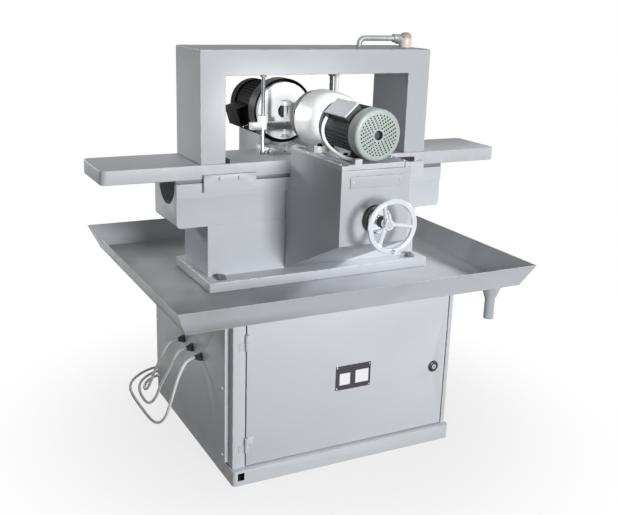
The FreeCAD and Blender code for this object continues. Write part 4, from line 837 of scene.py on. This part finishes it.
# grinding heads: what both have, then each head's own pieces; side is which way its motor points along y
head = {
    "front": {"axis": 1085.0, "side": -1, "motorRadius": 70.0, "coverRadius": 75.0, "coverStart": -430.0,
              "wheelRadius": 86.0, "face": -78.0, "finGaps": ((136, 224), (292, 344))},
    "rear": {"axis": 1075.0, "side": 1, "motorRadius": 80.0, "coverRadius": 86.0, "coverStart": 394.0,
             "wheelRadius": 98.0, "face": 150.0, "finGaps": ((136, 224), (224, 280))}}
cover = {"hole": 14.0, "gauge": 1.5, "length": 45.0, "bend": 9.0, "bendSteps": 7,
         "airHole": 2.6, "airHoleReach": 6.0, "airHoleTwist": 0.04625,
         "airHoles": ((22, 12), (29, 16), (36, 20), (43, 24), (50, 28), (57, 32))}


def airHoles(end, name):  # the pins that cut the rings of holes
    h = head[end]
    reach = cover["airHoleReach"]
    wide = cover["airHole"]
    pin = [(0, -reach), (wide, -reach), (wide, reach), (0, reach)]
    y = h["coverStart"] + h["side"] * cover["length"]
    bm = bmesh.new()
    for radius, count in cover["airHoles"]:
        for i in range(count):
            angle = 2 * math.pi * (i + cover["airHoleTwist"] * radius) / count
            at = (radius * math.cos(angle), y, h["axis"] + radius * math.sin(angle))
            turnMm(bm, pin, at, (0, h["side"], 0), 12)
    bmesh.ops.recalc_face_normals(bm, faces=bm.faces)
    mesh = bpy.data.meshes.new(name)
    bm.to_mesh(mesh)
    bm.free()
    pins = bpy.data.objects.new(name, mesh)
    scene.collection.objects.link(pins)
    return pins


def fanCover(name, node, end, look):  # rounded cap with rings of air holes
    h = head[end]
    wide = h["coverRadius"]
    deep = cover["length"]
    skin = cover["gauge"]
    bend = cover["bend"]
    hole = cover["hole"]
    steps = cover["bendSteps"]
    sweep = [math.pi / 2 * i / steps for i in range(steps + 1)]

    def corner(radius, angle):
        return (wide - bend + radius * math.sin(angle), deep - bend + radius * math.cos(angle))

    profile = [(wide - skin, 0), (wide, 0)] + [corner(bend, a) for a in sweep[::-1]]
    profile += [(hole, deep), (hole, deep - skin)] + [corner(bend - skin, a) for a in sweep]
    bm = bmesh.new()
    turnMm(bm, profile, (0, h["coverStart"], h["axis"]), (0, h["side"], 0), 96, True)
    cap = putPiece(name, bm, look, bodyOf[node], [node])
    pins = airHoles(end, name + ".holes")
    holes = cap.modifiers.new("airHoles", "BOOLEAN")
    holes.operation = "DIFFERENCE"
    holes.solver = "EXACT"
    holes.object = pins
    bpy.context.view_layer.update()
    made = bpy.data.meshes.new_from_object(cap.evaluated_get(bpy.context.evaluated_depsgraph_get()))
    cap.modifiers.clear()
    cap.data = made
    made.set_sharp_from_angle(angle=creaseAngle)
    bpy.data.objects.remove(pins)


fins = {"height": 4.4, "thick": 2.6, "step": 9.0, "length": 161.0, "sunk": 0.6, "clear": 2.0, "edge": 0.8}


def coolingFins(name, end, look, body):  # ribs along the motor, clear of its feet and terminal box
    h = head[end]
    base = h["motorRadius"] - fins["sunk"]
    tip = h["motorRadius"] + fins["height"]
    half = fins["thick"] / 2
    near = h["coverStart"] - h["side"] * fins["clear"]
    far = h["coverStart"] - h["side"] * (fins["clear"] + fins["length"])
    bm = bmesh.new()
    angle = 0.0
    while angle < 360:
        if not any(low <= angle <= high for low, high in h["finGaps"]):
            matrix = Matrix.Translation(spot(0, 0, h["axis"])) @ Matrix.Rotation(math.radians(angle), 4, "Y")
            block(bm, (-half, min(near, far), base), (half, max(near, far), tip), matrix)
        angle += fins["step"]
    putPiece(name, bm, look, body, soften=fins["edge"], segments=2)


wheel = {"bore": 24.0, "depth": 20.0, "rimEase": 1.5, "boreEase": 0.8,
         "hubMargin": 2.0, "hubDepth": 34.0, "hubEase": 2.0, "sleeve": 20.0, "sleeveDepth": 8.0,
         "spigot": 9.0, "nutRadius": 14.0, "nutDepth": 10.0}


def grindingWheel(end, gritFinish, discFinish):  # abrasive ring on its hub, with the arbor nut in the bore
    h = head[end]
    body = end + "_wheel"
    centre = (0, h["face"], h["axis"])
    axis = (0, h["side"], 0)
    wide = h["wheelRadius"]
    deep = wheel["depth"]
    bore = wheel["bore"]
    ease = wheel["rimEase"]
    bm = bmesh.new()
    turnMm(bm, [(bore, wheel["boreEase"]), (bore + wheel["boreEase"], 0), (wide - ease, 0), (wide, ease),
                (wide, deep), (bore, deep)], centre, axis, 112, True)
    putPiece(end + "Abrasive", bm, gritFinish, body, [end + "_abrasive"])
    disc = wide - wheel["hubMargin"]
    back = deep + wheel["hubDepth"]
    tail = back + wheel["sleeveDepth"]
    spigot = wheel["spigot"]
    sleeve = wheel["sleeve"]
    ease = wheel["hubEase"]
    bm = bmesh.new()
    turnMm(bm, [(spigot, deep), (disc, deep), (disc, back - ease), (disc - ease, back), (sleeve, back),
                (sleeve, tail), (spigot, tail)], centre, axis, 112, True)
    nut = wheel["nutRadius"]
    nutLow = deep - wheel["nutDepth"]
    turnMm(bm, [(spigot, nutLow), (nut - 1.6, nutLow), (nut, nutLow + 1.2), (nut, deep), (spigot, deep)],
           centre, axis, 6, True)
    putPiece(end + "WheelHub", bm, discFinish, body, [end + "_wheel_hub"])


frontHead = {
    "frameEdge": 0.8, "boxEdge": 1.2, "footTop": 1017.0, "footSide": 45.0, "footHigh": 1060.0,
    "guardRadius": 94.0, "guardNeck": 75.0, "guardGauge": 3.0, "guardRim": 120.0, "guardShoulder": 182.0,
    "guardBack": 250.0, "guardHole": 61.0, "guardSteps": 20, "rimEase": 0.8,
    "footBolts": [(x, y, 1017, 11, 6) for x in (-54, 54) for y in (-385, -310)],
    "lugBolts": [(x, -263, 1025, 12, 7) for x in (-76, 76)],
    "lidLean": -42.0, "lidTop": 91.0, "lidScrews": [(x, y) for x in (-23, 23) for y in (-413, -303)],
    "lidScrewRadius": 3.2, "lidScrewHeight": 1.8}


def onFoot(at):  # faces of the motor's feet
    f = frontHead
    return at.z < f["footTop"] + 1 or (abs(abs(at.x) - f["footSide"]) < 1 and at.z < f["footHigh"])


def makeFrontGuard():  # spun bell, open towards the wheel
    f = frontHead
    wide = f["guardRadius"]
    low = f["guardNeck"]
    wall = f["guardGauge"]
    start = f["guardRim"]
    shoulder = f["guardShoulder"]
    back = f["guardBack"]
    reach = back - wall
    ease = f["rimEase"]
    sweep = [math.pi / 2 * i / f["guardSteps"] for i in range(f["guardSteps"] + 1)]
    outside = [(low + (wide - low) * math.cos(a), shoulder + (reach - shoulder) * math.sin(a)) for a in sweep]
    inside = [(radius - wall, along) for radius, along in outside]
    inner = wide - wall
    rim = [(inner, start + ease), (inner + ease, start), (wide - ease, start), (wide, start + ease)]
    end = [(low, back), (f["guardHole"], back), (f["guardHole"], reach)]
    bm = bmesh.new()
    turnMm(bm, rim + outside + end + inside[::-1], (0, 0, head["front"]["axis"]), (0, -1, 0), 128, True)
    putPiece("frontGuard", bm, "spunAluminium", "front_head", ["front_guard"])


def makeFrontHead():
    f = frontHead
    dressNode("front_motor_frame", "frontMotorFrame", "motorDark", f["frameEdge"],
              accent=("paleMetalAndHighlight", onFoot))
    coatNode("front_spindle", "darkSteel")
    grindingWheel("front", "darkGrit", "polishedSteel")
    makeFrontGuard()
    dressNode("front_terminal_box", "frontTerminalBox", "motorDark", f["boxEdge"])
    dressNode("front_terminal_lid", "frontTerminalLid", "sheetPaint", f["boxEdge"])
    fanCover("frontFanCover", "front_fan_cover", "front", "fanGreen")
    coolingFins("frontFins", "front", "motorDark", "front_head")
    bm = bmesh.new()
    for x, y, z, across, height in f["footBolts"] + f["lugBolts"]:
        hexBolt(bm, (x, y, z), (0, 0, 1), across, height)
    putPiece("frontFootBolts", bm, "motorBlackAndShade", "front_head")
    tilt = Matrix.Rotation(math.radians(f["lidLean"]), 4, "Y")
    lean = Matrix.Translation(spot(0, 0, head["front"]["axis"])) @ tilt
    out = lean.to_3x3() @ Vector((0, 0, 1))
    bm = bmesh.new()
    for x, y in f["lidScrews"]:
        at = lean @ spot(x, y, f["lidTop"])
        panScrew(bm, tuple(at * 1000), out, f["lidScrewRadius"], f["lidScrewHeight"])
    putPiece("terminalLidScrews", bm, "turnedSteel", "front_head")


rearHead = {
    "boxEdge": 1.5, "guardRadius": 110.0, "guardGauge": 3.0, "guardRim": 158.0, "guardBack": 214.0,
    "guardHole": 72.0, "rimEase": 0.8, "backEase": 4.0, "innerEase": 3.0,
    "footBolts": [(x, y, 999, 11, 6) for x in (-54, 54) for y in (276, 346)],
    "plateLow": (65.0, 216.0, 925.0), "plateHigh": (140.0, 219.0, 985.0), "plateFold": 18.0, "plateEdge": 0.8,
    "plateScrewRadius": 4.0, "plateScrewHeight": 2.0}


def makeRearGuard():  # shallow pan behind the wheel
    r = rearHead
    wide = r["guardRadius"]
    inner = wide - r["guardGauge"]
    low = r["guardRim"]
    high = r["guardBack"]
    floor = high - r["guardGauge"]
    hole = r["guardHole"]
    ease = r["rimEase"]
    profile = [(inner, low + ease), (inner + ease, low), (wide - ease, low), (wide, low + ease),
               (wide, high - r["backEase"]), (wide - r["backEase"], high), (hole, high), (hole, floor),
               (inner - r["innerEase"], floor), (inner, floor - r["innerEase"])]
    bm = bmesh.new()
    turnMm(bm, profile, (0, 0, head["rear"]["axis"]), (0, 1, 0), 128, True)
    putPiece("rearGuard", bm, "glossBlack", "base", ["rear_guard"])


def makeShadePlate():  # folded sheet, screwed to the side of the rear bracket; its dark grey is painted shade filling the gap below the wheels
    r = rearHead
    low = r["plateLow"]
    high = r["plateHigh"]
    fold = r["plateFold"]
    skin = fold / 8
    bm = bmesh.new()
    block(bm, low, high)
    block(bm, (low[0], high[1] - 0.5, low[2]), (low[0] + skin, high[1] + fold, high[2]))
    putPiece("shadePlate", bm, "shadeDarkSheet", "base", soften=r["plateEdge"], segments=2)
    bm = bmesh.new()
    for z in (low[2] + fold, high[2] - fold):
        at = (low[0] + skin, high[1] + fold / 2, z)
        panScrew(bm, at, (1, 0, 0), r["plateScrewRadius"], r["plateScrewHeight"])
    putPiece("shadePlateScrews", bm, "turnedSteel", "base")


def makeRearHead():
    # the rear motor, its box, fan cover and fins in near-black: painted shade of a motor seen against the
    # light
    coatNode("rear_motor_frame", "motorBlackAndShade")
    coatNode("rear_spindle", "darkSteel")
    grindingWheel("rear", "paleGrit", "darkSteel")
    makeRearGuard()
    dressNode("rear_terminal_box", "rearTerminalBox", "motorBlackAndShade", rearHead["boxEdge"])
    fanCover("rearFanCover", "rear_fan_cover", "rear", "motorBlackAndShade")
    coolingFins("rearFins", "rear", "motorBlackAndShade", "base")
    bm = bmesh.new()
    for x, y, z, across, height in rearHead["footBolts"]:
        hexBolt(bm, (x, y, z), (0, 0, 1), across, height)
    putPiece("rearFootBolts", bm, "turnedSteel", "base")
    makeShadePlate()


# feed screw, dial and handwheel
feed = {"axis": 843.0, "carriageEdge": 1.2, "bearingEdge": 1.2, "dialEdge": 0.8, "lugFloor": 1005.5,
        "lugFront": -280.0, "bearingFace": -492, "screwCircle": 32.0, "screwRadius": 4.0, "screwHeight": 0.9,
        "sleeveRadius": 17.0, "dialFace": -513.0, "dialBack": -493.0, "dialRadius": 36.0, "marks": 50,
        "markHalf": 0.35, "markSunk": 0.3, "markProud": 0.12, "markShort": 6, "markLong": 11, "longEvery": 5}


def onLug(at):  # the carriage's lugs beside the guard
    return at.z > feed["lugFloor"] and at.y > feed["lugFront"]


def onSleeve(at):  # the dial's grip in front of its face
    near = math.hypot(at.x, at.z - feed["axis"]) < feed["sleeveRadius"] + 1
    return near and at.y < feed["dialFace"] - 1


def makeFeed():
    f = feed
    dressNode("feed_carriage", "feedCarriage", "castPaint", f["carriageEdge"],
              accent=("paleMetalAndHighlight", onLug))
    coatNode("feed_nut", "bronze")
    coatNode("feed_screw", "turnedSteel")
    dressNode("screw_bearing", "screwBearing", "blackPlastic", f["bearingEdge"])
    dressNode("feed_dial", "feedDial", "chrome", f["dialEdge"], accent=("blackPlastic", onSleeve))
    coatNode("handwheel", "chrome")
    bm = bmesh.new()
    out = f["screwCircle"]
    for i, angle in enumerate(around(4, math.pi / 4)):
        at = (out * math.cos(angle), f["bearingFace"], f["axis"] + out * math.sin(angle))
        slotScrew(bm, at, (0, -1, 0), f["screwRadius"], f["screwHeight"], i)
    putPiece("bearingScrews", bm, "turnedSteel", "base")
    bm = bmesh.new()
    half = f["markHalf"]
    start = f["dialBack"] - 1
    for i, angle in enumerate(around(f["marks"])):
        length = f["markShort"] if i % f["longEvery"] else f["markLong"]
        matrix = Matrix.Translation(spot(0, 0, f["axis"])) @ Matrix.Rotation(angle, 4, "Y")
        block(bm, (-half, start - length, f["dialRadius"] - f["markSunk"]),
              (half, start, f["dialRadius"] + f["markProud"]), matrix)
    putPiece("dialMarks", bm, "shadeAndPrintBlack", "feed")


makeFrontHead()
makeRearHead()
makeFeed()
print("heads and feed dressed")
